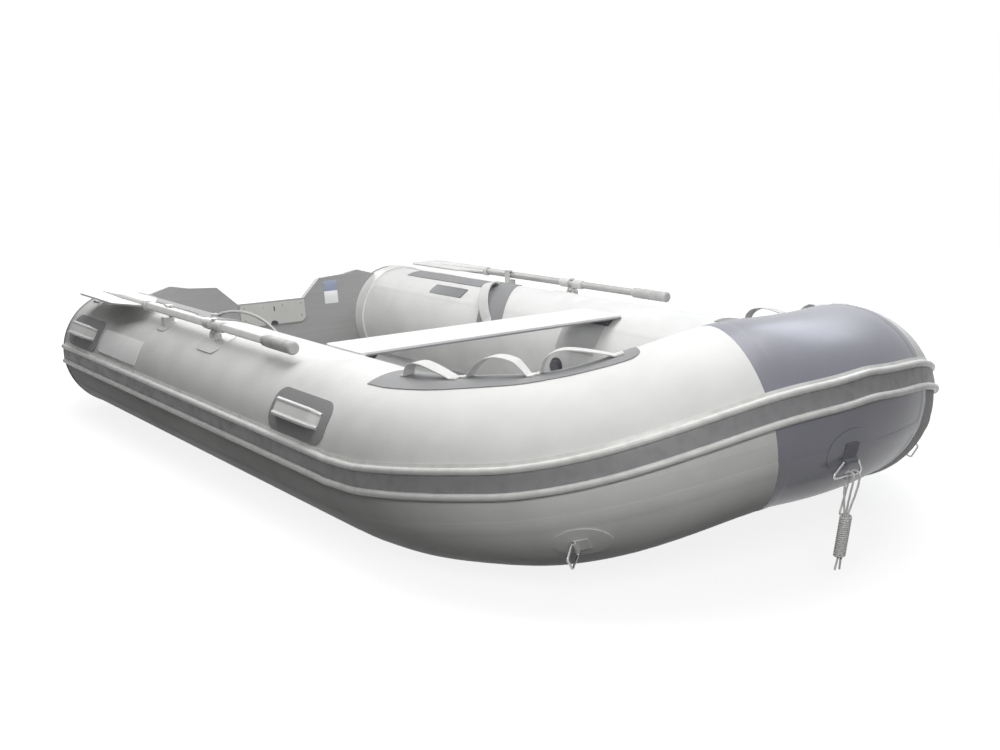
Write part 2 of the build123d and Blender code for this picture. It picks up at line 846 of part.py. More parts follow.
def rowlock_swivel():
    """Rocker on the dip pin, with the upright stud that the oar turns on."""
    plane = Plane(origin=(rowlock_x - rocker_length / 2, -oar_y, pivot_z()), z_dir=(1, 0, 0))
    rocker = Solid.make_cylinder(rocker_radius, rocker_length, plane)
    foot = Plane(origin=(rowlock_x, -oar_y, pivot_z()))
    flange_top = pivot_drop - shaft_radius - 1.5
    flange = Solid.make_cylinder(stud_flange_radius, flange_top, foot)
    stud = Solid.make_cylinder(stud_radius, pivot_drop + shaft_radius + cap_clearance + 1.0, foot)
    across = plane.offset(-rocker_length / 2)
    hole = Solid.make_cylinder(dip_pin_radius + pin_fit, 2 * rocker_length, across)
    return rocker.fuse(flange, stud) - hole


def rowlock_cap():
    low = oar_z + shaft_radius + cap_clearance
    plane = Plane(origin=(rowlock_x, -oar_y, low))
    cap = Solid.make_cylinder(cap_radius, cap_height, plane)
    cap = cap.fillet(2.5, [cap.edges().filter_by(GeomType.CIRCLE).sort_by(Axis.Z)[-1]])
    return cap - Solid.make_cylinder(stud_radius, 1.0, plane)


def oar_clip():
    """Post inboard of the shaft with a lip over it, open on the outboard side."""
    inner_y = -oar_y + shaft_radius + clip_clearance
    top = oar_z + shaft_radius + clip_clearance
    points = [
        (-oar_y - shaft_radius, oar_z - shaft_radius - clip_foot_gap),
        (inner_y, oar_z - shaft_radius - clip_foot_gap),
        (inner_y, top),
        (inner_y - clip_lip, top),
        (inner_y - clip_lip, top + clip_wall * 0.7),
        (inner_y + clip_wall, top + clip_wall * 0.7),
        (inner_y + clip_wall, tube_top - clip_foot_drop),
        (-oar_y - shaft_radius, tube_top - clip_foot_drop),
    ]
    plane = Plane(origin=(clip_x - clip_length / 2, 0, 0), x_dir=(0, 1, 0), z_dir=(1, 0, 0))
    body = extrude(plane * make_face(Polyline(*points, close=True)), clip_length)
    angle = math.degrees(math.acos((oar_y - half_spacing) / tube_radius))
    foot = rounded_patch(clip_x, angle, clip_pad_length, clip_pad_width, 16.0, 3.0)
    return body.fuse(foot) - side_cylinder(tube_radius + skin_gap)


# ---- rings ----
def ring_patch(run, angle, radius):
    base = tube_radius + skin_gap

    def section(at):
        reach = limit((at - run) / radius, -1.0, 1.0)
        half = span(max(radius * math.sqrt(1.0 - reach * reach), 1.5))
        return sector(base, base + patch_thickness, angle - half, angle + half)

    turns = [run - radius * math.cos(math.pi * i / 10) for i in range(11)]
    return loft_runs(section, turns)


def tab_plane(run, angle, turn=0.0):
    """On a ring's patch: local x along the ring's bar, local y away from the ring, z outward."""
    plane = radial_plane(run, angle, tube_radius + patch_thickness + 2 * skin_gap)
    along, round_tube = polar(1.0, turn)
    x_dir = plane.x_dir * along + plane.y_dir * round_tube
    return Plane(origin=plane.origin, x_dir=x_dir, z_dir=plane.z_dir)


def bar_point(plane, wire, tab_length):
    """Middle of a ring's straight bar, held in the end of its tab."""
    lift = wire + ring_play + tab_thickness + tab_seat
    return plane.origin - plane.y_dir * (tab_length / 2) + plane.z_dir * lift


def ring_tab(plane, wire, width, length):
    """Webbing tab whose end is rolled round the ring's bar."""
    seat = plane.offset(tab_seat)
    flat = extrude(seat * Rectangle(width, length), tab_thickness)
    start = bar_point(plane, wire, length) - plane.x_dir * (width / 2)
    across = Plane(origin=start, x_dir=plane.y_dir, z_dir=plane.x_dir)
    roll = Solid.make_cylinder(wire + ring_play + tab_thickness, width, across)
    bore = Solid.make_cylinder(wire + ring_play, 3 * width, across.offset(-width))
    return flat.fuse(roll) - bore


def ring_solid(bar, along, hang, radius, bar_length, far_side, height, shift=0.0):
    """Ring with a straight bar along one way, reaching away from it the other way."""
    frame = Plane(origin=bar, x_dir=along, z_dir=hang.cross(along))
    corners = [(-bar_length / 2, 0), (bar_length / 2, 0)]
    corners += [(shift + far_side / 2, -height), (shift - far_side / 2, -height)]
    path = frame * FilletPolyline(*corners, radius=ring_corner, close=True)
    start = Plane(origin=path @ 0, z_dir=path % 0)
    return sweep(start * Circle(radius), path=path)


def side_ring_plane():
    return tab_plane(side_ring_run, side_ring_angle, -90.0)


def side_ring():
    """Ring that stands out from the skin, since its bar runs up and down the tube."""
    plane = side_ring_plane()
    lean = math.radians(side_ring_lean)
    hang = plane.z_dir * math.cos(lean) - plane.y_dir * math.sin(lean)
    bar = bar_point(plane, side_ring_wire, side_tab_length)
    sizes = (side_ring_bar, side_ring_far_side, side_ring_height)
    return ring_solid(bar, plane.x_dir, hang, side_ring_wire, *sizes)


def tow_ring_plane():
    return tab_plane(tow_ring_run, tow_ring_angle)


def tow_ring(grow=0.0):
    plane = tow_ring_plane()
    bar = bar_point(plane, tow_ring_wire, tow_tab_length)
    sizes = (tow_ring_bar, tow_ring_far_side, tow_ring_height, tow_ring_shift)
    return ring_solid(bar, plane.x_dir, Vector(0, 0, -1), tow_ring_wire + grow, *sizes)


# ---- rope ----
def rope_hank():
    """Outer shape of the bound rope under the tow ring."""
    plane = tow_ring_plane()
    level = Vector(plane.x_dir.X, plane.x_dir.Y, 0).normalized()
    bar = bar_point(plane, tow_ring_wire, tow_tab_length)
    top = bar + level * (tow_ring_shift + hank_shift)
    top += Vector(0, 0, tow_ring_wire + hank_throat_depth - tow_ring_height)
    down = Vector(*hank_lean_way, 0).normalized() * hank_lean - Vector(0, 0, hank_length)
    down = down.normalized()

    def slice_at(drop, width, depth):
        at = Plane(origin=top + down * drop, x_dir=level, z_dir=down)
        return (at * Ellipse(width / 2, depth / 2)).faces()[0].outer_wire()

    wrap = 2 * hank_wrap_radius
    throat = [
        slice_at(0, hank_top_width, hank_top_depth),
        slice_at(hank_wrap_start / 2, hank_top_width * 0.75, hank_top_depth),
        slice_at(hank_wrap_start, wrap * 0.8, wrap * 0.7),
    ]
    body = Solid.make_loft(throat, False)
    foot = Plane(origin=top + down * hank_wrap_start, z_dir=down)
    body = body.fuse(Solid.make_cylinder(hank_wrap_radius, hank_wrap_length, foot))
    tail = hank_length - hank_wrap_start - hank_wrap_length
    end = Plane(origin=top + down * (hank_wrap_start + hank_wrap_length), z_dir=down)
    body = body.fuse(Solid.make_cone(hank_wrap_radius * 0.8, hank_wrap_radius, tail, end))
    return body - tow_ring(ring_play)


# ---- the boat ----
def side_nodes():
    """Starboard pieces whose port twins are nodes of their own."""
    return {
        "tube": side_tube(),
        "tail_cone": tail_cone(),
        "rowlock_swivel": rowlock_swivel(),
        "rowlock_cap": rowlock_cap(),
        "oar_shaft": oar_shaft(),
        "oar_grip": oar_grip(),
        "oar_blade": oar_blade(),
    }


def paired_nodes():
    """Like pieces of both sides that share a node: the starboard ones."""
    return {
        "floor_channels": [side_channel()],
        "transom_flanges": [transom_flange()],
        "bench_patches": [bench_patch()],
        "bench_brackets": [bench_bracket()],
        "side_handle_patches": [handle_patch(x) for x in (handle_fore_x, handle_aft_x)],
        "side_handles": [side_handle(x) for x in (handle_fore_x, handle_aft_x)],
        "shoulder_patches": [shoulder_patch()],
        "shoulder_straps": [shoulder_strap(i) for i in range(len(strap_feet))],
        "inside_bands": [inside_band()],
        "inside_straps": [band_strap()],
        "wear_pads": [wear_pad()],
        "air_valves": [air_valve()],
        "side_ring_patches": [ring_patch(side_ring_run, side_ring_angle, ring_patch_radius)],
        "side_ring_tabs": [
            ring_tab(side_ring_plane(), side_ring_wire, side_tab_width, side_tab_length)
        ],
        "side_rings": [side_ring()],
        "rowlock_bases": [rowlock_base()],
        "dip_pins": [dip_pin()],
        "oar_clips": [oar_clip()],
    }


def boat_nodes():
    nodes = {}
    for name, shape in side_nodes().items():
        nodes["starboard_" + name] = shape
        nodes["port_" + name] = mirrored(shape)
    for name, shapes in paired_nodes().items():
        solids = [solid for shape in shapes for solid in shape.solids()]
        nodes[name] = Compound(solids + [mirrored(solid) for solid in solids])
    nodes["bow_tube"] = bow_tube()
    nodes["strake_band"] = along_boat(strake_band, strake_aft_end)
    nodes["strake_upper_bead"] = along_boat(upper_bead, strake_aft_end)
    nodes["strake_lower_bead"] = along_boat(lower_bead, strake_aft_end)
    nodes["hull_bottom"] = hull_bottom()
    nodes["keel_guard"] = keel_guard()
    nodes["transom_board"] = transom_board()
    nodes["transom_inner_pad"] = inner_pad()
    nodes["transom_outer_pad"] = outer_pad()
    nodes["transom_drain_cap"] = drain_fitting()
    nodes["bench"] = bench()
    nodes["bow_floor_board"] = bow_board()
    for i, panel in enumerate(floor_panels()):
        nodes[f"floor_panel_{i + 1}"] = panel
    nodes["info_plate"] = mirrored(info_plate())
    nodes["name_plate"] = rounded_patch(label_x, label_angle, label_length, label_height, 6.0)
    nodes["tow_patch"] = ring_patch(tow_ring_run, tow_ring_angle, tow_patch_radius)
    nodes["tow_tab"] = ring_tab(tow_ring_plane(), tow_ring_wire, tow_tab_width, tow_tab_length)
    nodes["tow_ring"] = tow_ring()
    nodes["rope_hank"] = rope_hank()
    return nodes


def ground_centre(shapes):
    """Point under the middle of the pieces' bounding box, at its base."""
    boxes = [shape.bounding_box() for shape in shapes]
    x = (min(box.min.X for box in boxes) + max(box.max.X for box in boxes)) / 2
    return Vector(x, 0, min(box.min.Z for box in boxes))


def main():
    os.makedirs("parts", exist_ok=True)
    nodes = boat_nodes()
    origin = ground_centre([shape for name, shape in nodes.items() if name != "rope_hank"])
    for name, shape in nodes.items():
        export_step(shape.moved(Location(origin * -1.0)), f"parts/{name}.step")
    print("origin in work coordinates", origin)


main()
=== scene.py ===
import math

import bmesh
import bpy
from mathutils import Matrix, Quaternion, Vector


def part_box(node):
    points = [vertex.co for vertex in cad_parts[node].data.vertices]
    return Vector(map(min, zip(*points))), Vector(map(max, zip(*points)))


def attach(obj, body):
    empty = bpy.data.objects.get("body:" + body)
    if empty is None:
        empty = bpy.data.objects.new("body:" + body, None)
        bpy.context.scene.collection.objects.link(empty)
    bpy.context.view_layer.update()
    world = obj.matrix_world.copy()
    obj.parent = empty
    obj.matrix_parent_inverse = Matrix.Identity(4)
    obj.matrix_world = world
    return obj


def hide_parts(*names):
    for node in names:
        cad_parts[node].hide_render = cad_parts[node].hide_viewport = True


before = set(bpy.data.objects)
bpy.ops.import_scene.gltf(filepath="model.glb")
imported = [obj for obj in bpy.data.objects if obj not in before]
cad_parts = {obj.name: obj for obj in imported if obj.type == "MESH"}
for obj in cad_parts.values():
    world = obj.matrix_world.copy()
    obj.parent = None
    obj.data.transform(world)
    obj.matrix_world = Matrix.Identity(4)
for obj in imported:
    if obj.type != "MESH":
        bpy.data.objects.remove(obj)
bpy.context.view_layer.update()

# ---------------------------------------------------------------- measures
# The tubes' sizes come from the frame, and the bow's curve repeats the part's driving sizes.
CONE_LOW, CONE_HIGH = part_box("starboard_tail_cone")
TUBE = (CONE_HIGH.z - CONE_LOW.z) / 2
GROUND = CONE_LOW.z
HALF_SPACING = -(CONE_LOW.y + CONE_HIGH.y) / 2
ARC_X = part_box("starboard_tube")[0].x + 2.100
BOW_STRAIGHT = 0.033
SHOULDER_TUCK = 0.027
NOSE_SPREAD = 0.038
SHOULDER_RADIUS = HALF_SPACING - SHOULDER_TUCK
NOSE_RADIUS = HALF_SPACING + NOSE_SPREAD
SHOULDER_TURN = math.acos(SHOULDER_TUCK / (SHOULDER_TUCK + NOSE_SPREAD))
NOSE_START = BOW_STRAIGHT + SHOULDER_RADIUS * SHOULDER_TURN
NOSE_RUN = NOSE_START + NOSE_RADIUS * (math.pi / 2 - SHOULDER_TURN)
# The bow's rise in two stages: each one's height, and the runs that it starts and ends at.
SHEERS = ((0.053, -0.170, 0.425), (0.113, 0.295, 0.815))
SKIN = 0.0003
PATCH = 0.002
WEBBING = 0.003
WEBBING_THREAD = 0.0016
# Places of the side handles along the boat and their angle up from outboard.
HANDLE_RUNS = (-0.317, -1.908)
HANDLE_ANGLE = 29.0


def limit(value, low, high):
    return min(max(value, low), high)


def smooth_step(value, start, end):
    """0 before the start, 1 after the end, eased between them."""
    t = limit((value - start) / (end - start), 0.0, 1.0)
    return t * t * (3 - 2 * t)


def axis_point(run):
    """Point of the tubes' centre line, run from the starboard start of the bow."""
    near = min(run, 2 * NOSE_RUN - run)
    bend = limit((near - BOW_STRAIGHT) / SHOULDER_RADIUS, 0.0, SHOULDER_TURN)
    turn = SHOULDER_TURN + max(near - NOSE_START, 0.0) / NOSE_RADIUS
    x = ARC_X + min(near, BOW_STRAIGHT) + SHOULDER_RADIUS * math.sin(bend)
    x += NOSE_RADIUS * (math.sin(turn) - math.sin(SHOULDER_TURN))
    half = NOSE_RADIUS * math.cos(turn)
    half += SHOULDER_RADIUS * (math.cos(bend) - math.cos(SHOULDER_TURN))
    z = GROUND + TUBE
    for rise, start, end in SHEERS:
        z += rise * smooth_step(near, start, end)
    return Vector((x, -half if run < NOSE_RUN else half, z))


def tube_axes(run):
    """Centre of the tube there, with its outboard and upward directions."""
    along = (axis_point(run + 0.0005) - axis_point(run - 0.0005)).normalized()
    out = along.cross(Vector((0, 0, 1))).normalized()
    return axis_point(run), out, out.cross(along)


def on_tube(run, angle, lift=0.0):
    """Point over the starboard tube's skin, angle in radians up from outboard."""
    middle, out, up = tube_axes(run)
    return middle + (out * math.cos(angle) + up * math.sin(angle)) * (TUBE + lift)


# ---------------------------------------------------------------- mesh helpers
def finish_piece(bm, name, materials, body="hull", smooth=40.0, both_sides=False):
    """Turns a bmesh into a piece that rides on a body."""
    if both_sides:
        bmesh.ops.mirror(bm, geom=bm.verts[:] + bm.edges[:] + bm.faces[:], axis="Y", merge_dist=0.0)
    bmesh.ops.recalc_face_normals(bm, faces=bm.faces[:])
    mesh = bpy.data.meshes.new(name)
    bm.to_mesh(mesh)
    bm.free()
    for material in materials if isinstance(materials, (list, tuple)) else [materials]:
        mesh.materials.append(material)
    piece = bpy.data.objects.new(name, mesh)
    bpy.context.scene.collection.objects.link(piece)
    mesh.shade_smooth()
    mesh.set_sharp_from_angle(angle=math.radians(smooth))
    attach(piece, body)
    return piece


def ease(bm, edges, offset, segments=2):
    """Rounds those edges."""
    return bmesh.ops.bevel(
        bm, geom=edges, offset=offset, segments=segments, profile=0.5, affect="EDGES", material=-1
    )["verts"]


def flat_uv(bm):
    """Keeps the flat shape's own lengths as its texture coordinates, in metres."""
    layer = bm.loops.layers.uv.verify()
    for face in bm.faces:
        for loop in face.loops:
            loop[layer].uv = (loop.vert.co.x, loop.vert.co.y)


def wrap(bm, run, angle):
    """Lays a flat shape on the starboard tube: x along it, y up round it, z off it."""
    middle = math.radians(angle)
    for v in bm.verts:
        v.co = on_tube(run + v.co.x, middle + v.co.y / TUBE, v.co.z)


def plate(length, height, corner, thickness, edge):
    """Flat rounded plate with softened upper edges, bottom at z = 0."""
    bm = bmesh.new()
    bmesh.ops.create_grid(bm, x_segments=1, y_segments=1, size=0.5)
    bmesh.ops.scale(bm, vec=(length, height, 1), verts=bm.verts[:])
    bmesh.ops.bevel(
        bm, geom=bm.verts[:], offset=corner, segments=6, profile=0.5, affect="VERTICES", material=-1
    )
    top = bmesh.ops.extrude_face_region(bm, geom=bm.faces[:])["geom"]
    lifted = [g for g in top if isinstance(g, bmesh.types.BMVert)]
    bmesh.ops.translate(bm, vec=(0, 0, thickness), verts=lifted)
    bmesh.ops.recalc_face_normals(bm, faces=bm.faces[:])
    rim = [e for e in bm.edges if all(abs(v.co.z - thickness) < 1e-6 for v in e.verts)]
    ease(bm, rim, edge)
    return bm


def join(target, source):
    """Adds one bmesh to another."""
    mesh = bpy.data.meshes.new("joined")
    source.to_mesh(mesh)
    source.free()
    target.from_mesh(mesh)
    bpy.data.meshes.remove(mesh)


def ribbon(length, width, thickness, rise):
    """Flat strap, x along it, whose height over the skin is rise(x)."""
    bm = bmesh.new()
    bmesh.ops.create_grid(bm, x_segments=84, y_segments=6, size=0.5)
    bmesh.ops.scale(bm, vec=(length, width, 1), verts=bm.verts[:])
    flat_uv(bm)
    for v in bm.verts:
        v.co.z = rise(v.co.x)
    bmesh.ops.recalc_face_normals(bm, faces=bm.faces[:])
    bmesh.ops.solidify(bm, geom=bm.faces[:], thickness=-thickness)
    return bm


# ---------------------------------------------------------------- materials
class Finish:
    """A Principled material with short calls for the nodes that these finishes use."""

    def __init__(self, name, rough, metal=0.0, specular=0.5):
        self.material = bpy.data.materials.new(name)
        self.material.use_nodes = True
        self.tree = self.material.node_tree
        self.shader = self.tree.nodes["Principled BSDF"]
        self.shader.inputs["Metallic"].default_value = metal
        self.shader.inputs["Specular IOR Level"].default_value = specular
        self.shader.inputs["Roughness"].default_value = rough
        self.height = None
        self.places = self.add("ShaderNodeTexCoord").outputs["Object"]
        self.flat = self.add("ShaderNodeTexCoord").outputs["UV"]

    def add(self, kind, **settings):
        node = self.tree.nodes.new(kind)
        for key, value in settings.items():
            setattr(node, key, value)
        return node

    def link(self, source, target):
        self.tree.links.new(source, target)

    def noise(self, scale, detail, stretch=None):
        node = self.add("ShaderNodeTexNoise")
        node.inputs["Scale"].default_value = scale
        node.inputs["Detail"].default_value = detail
        vector = self.places
        if stretch:
            mapping = self.add("ShaderNodeMapping")
            mapping.inputs["Scale"].default_value = stretch
            self.link(vector, mapping.inputs["Vector"])
            vector = mapping.outputs["Vector"]
        self.link(vector, node.inputs["Vector"])
        return node.outputs["Fac"]

    def wave(self, scale, direction, vector=None):
        node = self.add("ShaderNodeTexWave", wave_type="BANDS", bands_direction=direction)
        node.inputs["Scale"].default_value = scale
        node.inputs["Distortion"].default_value = 0.0
        self.link(vector or self.places, node.inputs["Vector"])
        return node.outputs["Fac"]

    def maths(self, operation, first, second):
        node = self.add("ShaderNodeMath", operation=operation)
        for socket, value in zip(node.inputs, (first, second)):
            if isinstance(value, (int, float)):
                socket.default_value = value
            else:
                self.link(value, socket)
        return node.outputs["Value"]

    def between(self, fac, low, high):
        """Maps a 0 to 1 pattern to a range."""
        node = self.add("ShaderNodeMapRange")
        self.link(fac, node.inputs["Value"])
        node.inputs["To Min"].default_value = low
        node.inputs["To Max"].default_value = high
        return node.outputs["Result"]

    def sharpen(self, fac, low, high):
        node = self.add("ShaderNodeMapRange")
        self.link(fac, node.inputs["Value"])
        node.inputs["From Min"].default_value = low
        node.inputs["From Max"].default_value = high
        return node.outputs["Result"]

    def tint(self, fac, first, second):
        """Base colour between two colours by a pattern."""
        node = self.add("ShaderNodeMix", data_type="RGBA")
        self.link(fac, node.inputs["Factor"])
        node.inputs[6].default_value = (*first, 1)
        node.inputs[7].default_value = (*second, 1)
        self.link(node.outputs[2], self.shader.inputs["Base Color"])
        return self

    def rough(self, fac, low, high):
        self.link(self.between(fac, low, high), self.shader.inputs["Roughness"])
        return self

    def bump(self, fac, distance, strength=1.0):
        node = self.add("ShaderNodeBump")
        node.inputs["Distance"].default_value = distance
        node.inputs["Strength"].default_value = strength
        self.link(fac, node.inputs["Height"])
        if self.height:
            self.link(self.height, node.inputs["Normal"])
        self.height = node.outputs["Normal"]
        self.link(self.height, self.shader.inputs["Normal"])
        return self

    def coat(self, weight, rough):
        self.shader.inputs["Coat Weight"].default_value = weight
        self.shader.inputs["Coat Roughness"].default_value = rough
        return self


def shade(colour, factor):
    return tuple(min(1.0, c * factor) for c in colour)


def coated_fabric(name, colour, rough=0.42, weave=0.00005, coat=0.15, specular=0.5):
    """Coated boat cloth: faint threads under a smooth skin, softly uneven tone."""
    f = Finish(name, rough, specular=specular)
    cloud = f.noise(2.2, 4.0)
    grime = f.sharpen(f.noise(9.0, 5.0), 0.35, 0.75)
    tone = f.maths("MULTIPLY", cloud, grime)
    f.tint(f.sharpen(tone, 0.05, 0.55), shade(colour, 1.02), shade(colour, 0.93))
    f.rough(cloud, rough - 0.05, rough + 0.07)
    crossed = f.maths("ADD", f.wave(260.0, "Y"), f.wave(260.0, "Z"))
    threads = f.maths("ADD", f.wave(260.0, "X"), crossed)
    f.bump(f.noise(5.0, 2.0), 0.0012, 0.35)
    f.bump(threads, weave, 0.5)
    f.coat(coat, 0.25)
    return f.material


def moulded_rubber(name, colour, rough=0.5):
    """Extruded rubber: fine grain, soft unevenness and scuffs."""
    f = Finish(name, rough, specular=0.45)
    scuff = f.sharpen(f.noise(38.0, 6.0), 0.45, 0.72)
    f.tint(scuff, colour, shade(colour, 0.86))
    f.rough(scuff, rough - 0.04, rough + 0.12)
    f.bump(f.noise(900.0, 2.0), 0.00006, 0.5)
    f.bump(f.noise(14.0, 3.0), 0.0003, 0.4)
    return f.material


def moulded_plastic(name, colour, rough=0.38, grain=700.0, specular=0.5):
    """Injection-moulded plastic with a fine spark-eroded grain."""
    f = Finish(name, rough, specular=specular)
    cloud = f.noise(11.0, 4.0)
    f.tint(f.sharpen(cloud, 0.35, 0.75), shade(colour, 1.03), shade(colour, 0.94))
    f.rough(cloud, rough - 0.05, rough + 0.08)
    f.bump(f.noise(grain, 2.0), 0.00005, 0.6)
    return f.material


def painted_board(name, colour, rough=0.35, along=(1.5, 26.0, 26.0)):
    """Painted plywood: the grain telegraphs faintly through a rolled paint film."""
    f = Finish(name, rough, specular=0.5)
    grain = f.noise(3.0, 6.0, stretch=along)
    f.tint(f.sharpen(grain, 0.35, 0.7), shade(colour, 1.02), shade(colour, 0.94))
    f.rough(f.noise(16.0, 3.0), rough - 0.06, rough + 0.1)
    f.bump(grain, 0.0003, 0.25)
    f.bump(f.noise(420.0, 3.0), 0.00008, 0.5)
    f.coat(0.1, 0.2)
    return f.material


def satin_alloy(name, colour, rough=0.36):
    """Anodised tube with fine drawing lines along it."""
    f = Finish(name, rough, metal=0.75, specular=0.5)
    drawn = f.noise(1.0, 3.0, stretch=(6.0, 900.0, 900.0))
    cloud = f.noise(20.0, 4.0)
    f.tint(f.sharpen(cloud, 0.4, 0.7), colour, shade(colour, 0.9))
    f.rough(drawn, rough - 0.06, rough + 0.12)
    f.bump(drawn, 0.00004, 0.5)
    return f.material


def bright_steel(name, colour):
    """Polished stainless wire with fine scratches."""
    f = Finish(name, 0.18, metal=1.0)
    scratch = f.noise(160.0, 6.0, stretch=(1.0, 4.0, 1.0))
    f.tint(f.sharpen(scratch, 0.4, 0.7), colour, shade(colour, 0.86))
    f.rough(scratch, 0.12, 0.3)
    f.bump(scratch, 0.00004, 0.5)
    return f.material


def woven_webbing(name, colour):
    """Flat webbing: herringbone threads that follow the strap."""
    f = Finish(name, 0.72, specular=0.3)
    scale = 1.0 / (WEBBING_THREAD * 3.14)
    warp = f.wave(scale, "Y", f.flat)
    weft = f.wave(scale, "DIAGONAL", f.flat)
    weave = f.maths("MULTIPLY", warp, weft)
    f.tint(f.maths("MULTIPLY", weave, f.noise(60.0, 3.0)), shade(colour, 0.86), shade(colour, 1.05))
    f.bump(weave, 0.0004, 0.6)
    f.bump(f.noise(1200.0, 2.0), 0.0001, 0.4)
    f.shader.inputs["Sheen Weight"].default_value = 0.25
    f.shader.inputs["Sheen Roughness"].default_value = 0.4
    return f.material


def braided_rope(name, colour, diameter):
    """Laid line: two crossing families of fine strands over its shape."""
    f = Finish(name, 0.75, specular=0.25)
    scale = 1.0 / (diameter * 1.1)
    one = f.wave(scale, "DIAGONAL", f.flat)
    mapping = f.add("ShaderNodeMapping")
    mapping.inputs["Scale"].default_value = (1.0, -1.0, 1.0)
    f.link(f.flat, mapping.inputs["Vector"])
    two = f.wave(scale, "DIAGONAL", mapping.outputs["Vector"])
    braid = f.maths("MAXIMUM", one, two)
    f.tint(braid, shade(colour, 0.86), colour)
    f.bump(braid, 0.0003, 0.5)
    f.bump(f.noise(900.0, 3.0), 0.0002, 0.5)
    f.shader.inputs["Sheen Weight"].default_value = 0.3
    return f.material


WHITE = (0.80, 0.80, 0.785)
BOW_GREY = (0.245, 0.247, 0.285)
MID_GREY = (0.30, 0.30, 0.305)

tube_cloth = coated_fabric("tube_cloth", WHITE, rough=0.5, coat=0.0, specular=0.08)
bow_cloth = coated_fabric("bow_cloth", BOW_GREY, rough=0.36, coat=0.33, specular=0.3)
patch_cloth = coated_fabric("patch_cloth", MID_GREY, rough=0.55, coat=0.0, specular=0.2)
# The bench patches' grey is painted shade: it stands in for the soft shade on the tubes under the
# bench's ends.
bench_patch_painted_shade = coated_fabric(
    "bench_patch_painted_shade", (0.56, 0.56, 0.56), rough=0.55, coat=0.0, specular=0.2
)
bottom_cloth = coated_fabric("bottom_cloth", (0.50, 0.50, 0.50), rough=0.55, coat=0.0, specular=0.15)
cone_plastic = moulded_rubber("cone_plastic", (0.30, 0.305, 0.32), 0.42)
strake_rubber = moulded_rubber("strake_rubber", (0.285, 0.285, 0.292), 0.5)
bead_rubber = moulded_rubber("bead_rubber", (0.70, 0.70, 0.68), 0.32)
keel_rubber = moulded_rubber("keel_rubber", (0.16, 0.165, 0.18), 0.6)
transom_paint = painted_board("transom_paint", (0.36, 0.36, 0.355), 0.42, (26.0, 1.5, 26.0))
bench_paint = painted_board("bench_paint", (0.86, 0.86, 0.86), 0.30, (26.0, 1.5, 26.0))
floor_paint = painted_board("floor_paint", (0.42, 0.42, 0.42), 0.6)
pad_plastic = moulded_plastic("pad_plastic", (0.55, 0.55, 0.52))
dark_plastic = moulded_plastic("dark_plastic", (0.055, 0.058, 0.065), 0.42)
outer_pad_plastic = moulded_plastic("outer_pad_plastic", (0.12, 0.12, 0.13), 0.5, 300.0)
flange_plastic = moulded_plastic("flange_plastic", (0.76, 0.76, 0.74), 0.45)
fitting_plastic = moulded_plastic("fitting_plastic", (0.70, 0.70, 0.68), 0.35)
handle_plastic = moulded_plastic("handle_plastic", (0.74, 0.74, 0.73), 0.30)
plate_plastic = moulded_plastic("plate_plastic", (0.93, 0.93, 0.92), 0.35)
printed_blue = moulded_plastic("printed_blue", (0.36, 0.40, 0.52), 0.35)
dark_plate = moulded_plastic("dark_plate", (0.085, 0.088, 0.092), 0.35)
valve_plastic = moulded_plastic("valve_plastic", (0.13, 0.13, 0.14), 0.4)
blade_plastic = moulded_plastic("blade_plastic", (0.78, 0.78, 0.76), 0.38)
grip_rubber = moulded_rubber("grip_rubber", (0.54, 0.54, 0.53), 0.5)
edging_plastic = moulded_plastic("edging_plastic", (0.27, 0.27, 0.28), 0.4)
channel_alloy = satin_alloy("channel_alloy", (0.62, 0.63, 0.64))
shaft_alloy = satin_alloy("shaft_alloy", (0.50, 0.50, 0.49), 0.42)
ring_steel = bright_steel("ring_steel", (0.42, 0.42, 0.43))
pin_steel = bright_steel("pin_steel", (0.62, 0.62, 0.63))
strap_webbing = woven_webbing("strap_webbing", (0.84, 0.84, 0.82))
tab_webbing = woven_webbing("tab_webbing", (0.26, 0.262, 0.30))
line_rope = braided_rope("line_rope", (0.90, 0.89, 0.87), 0.006)

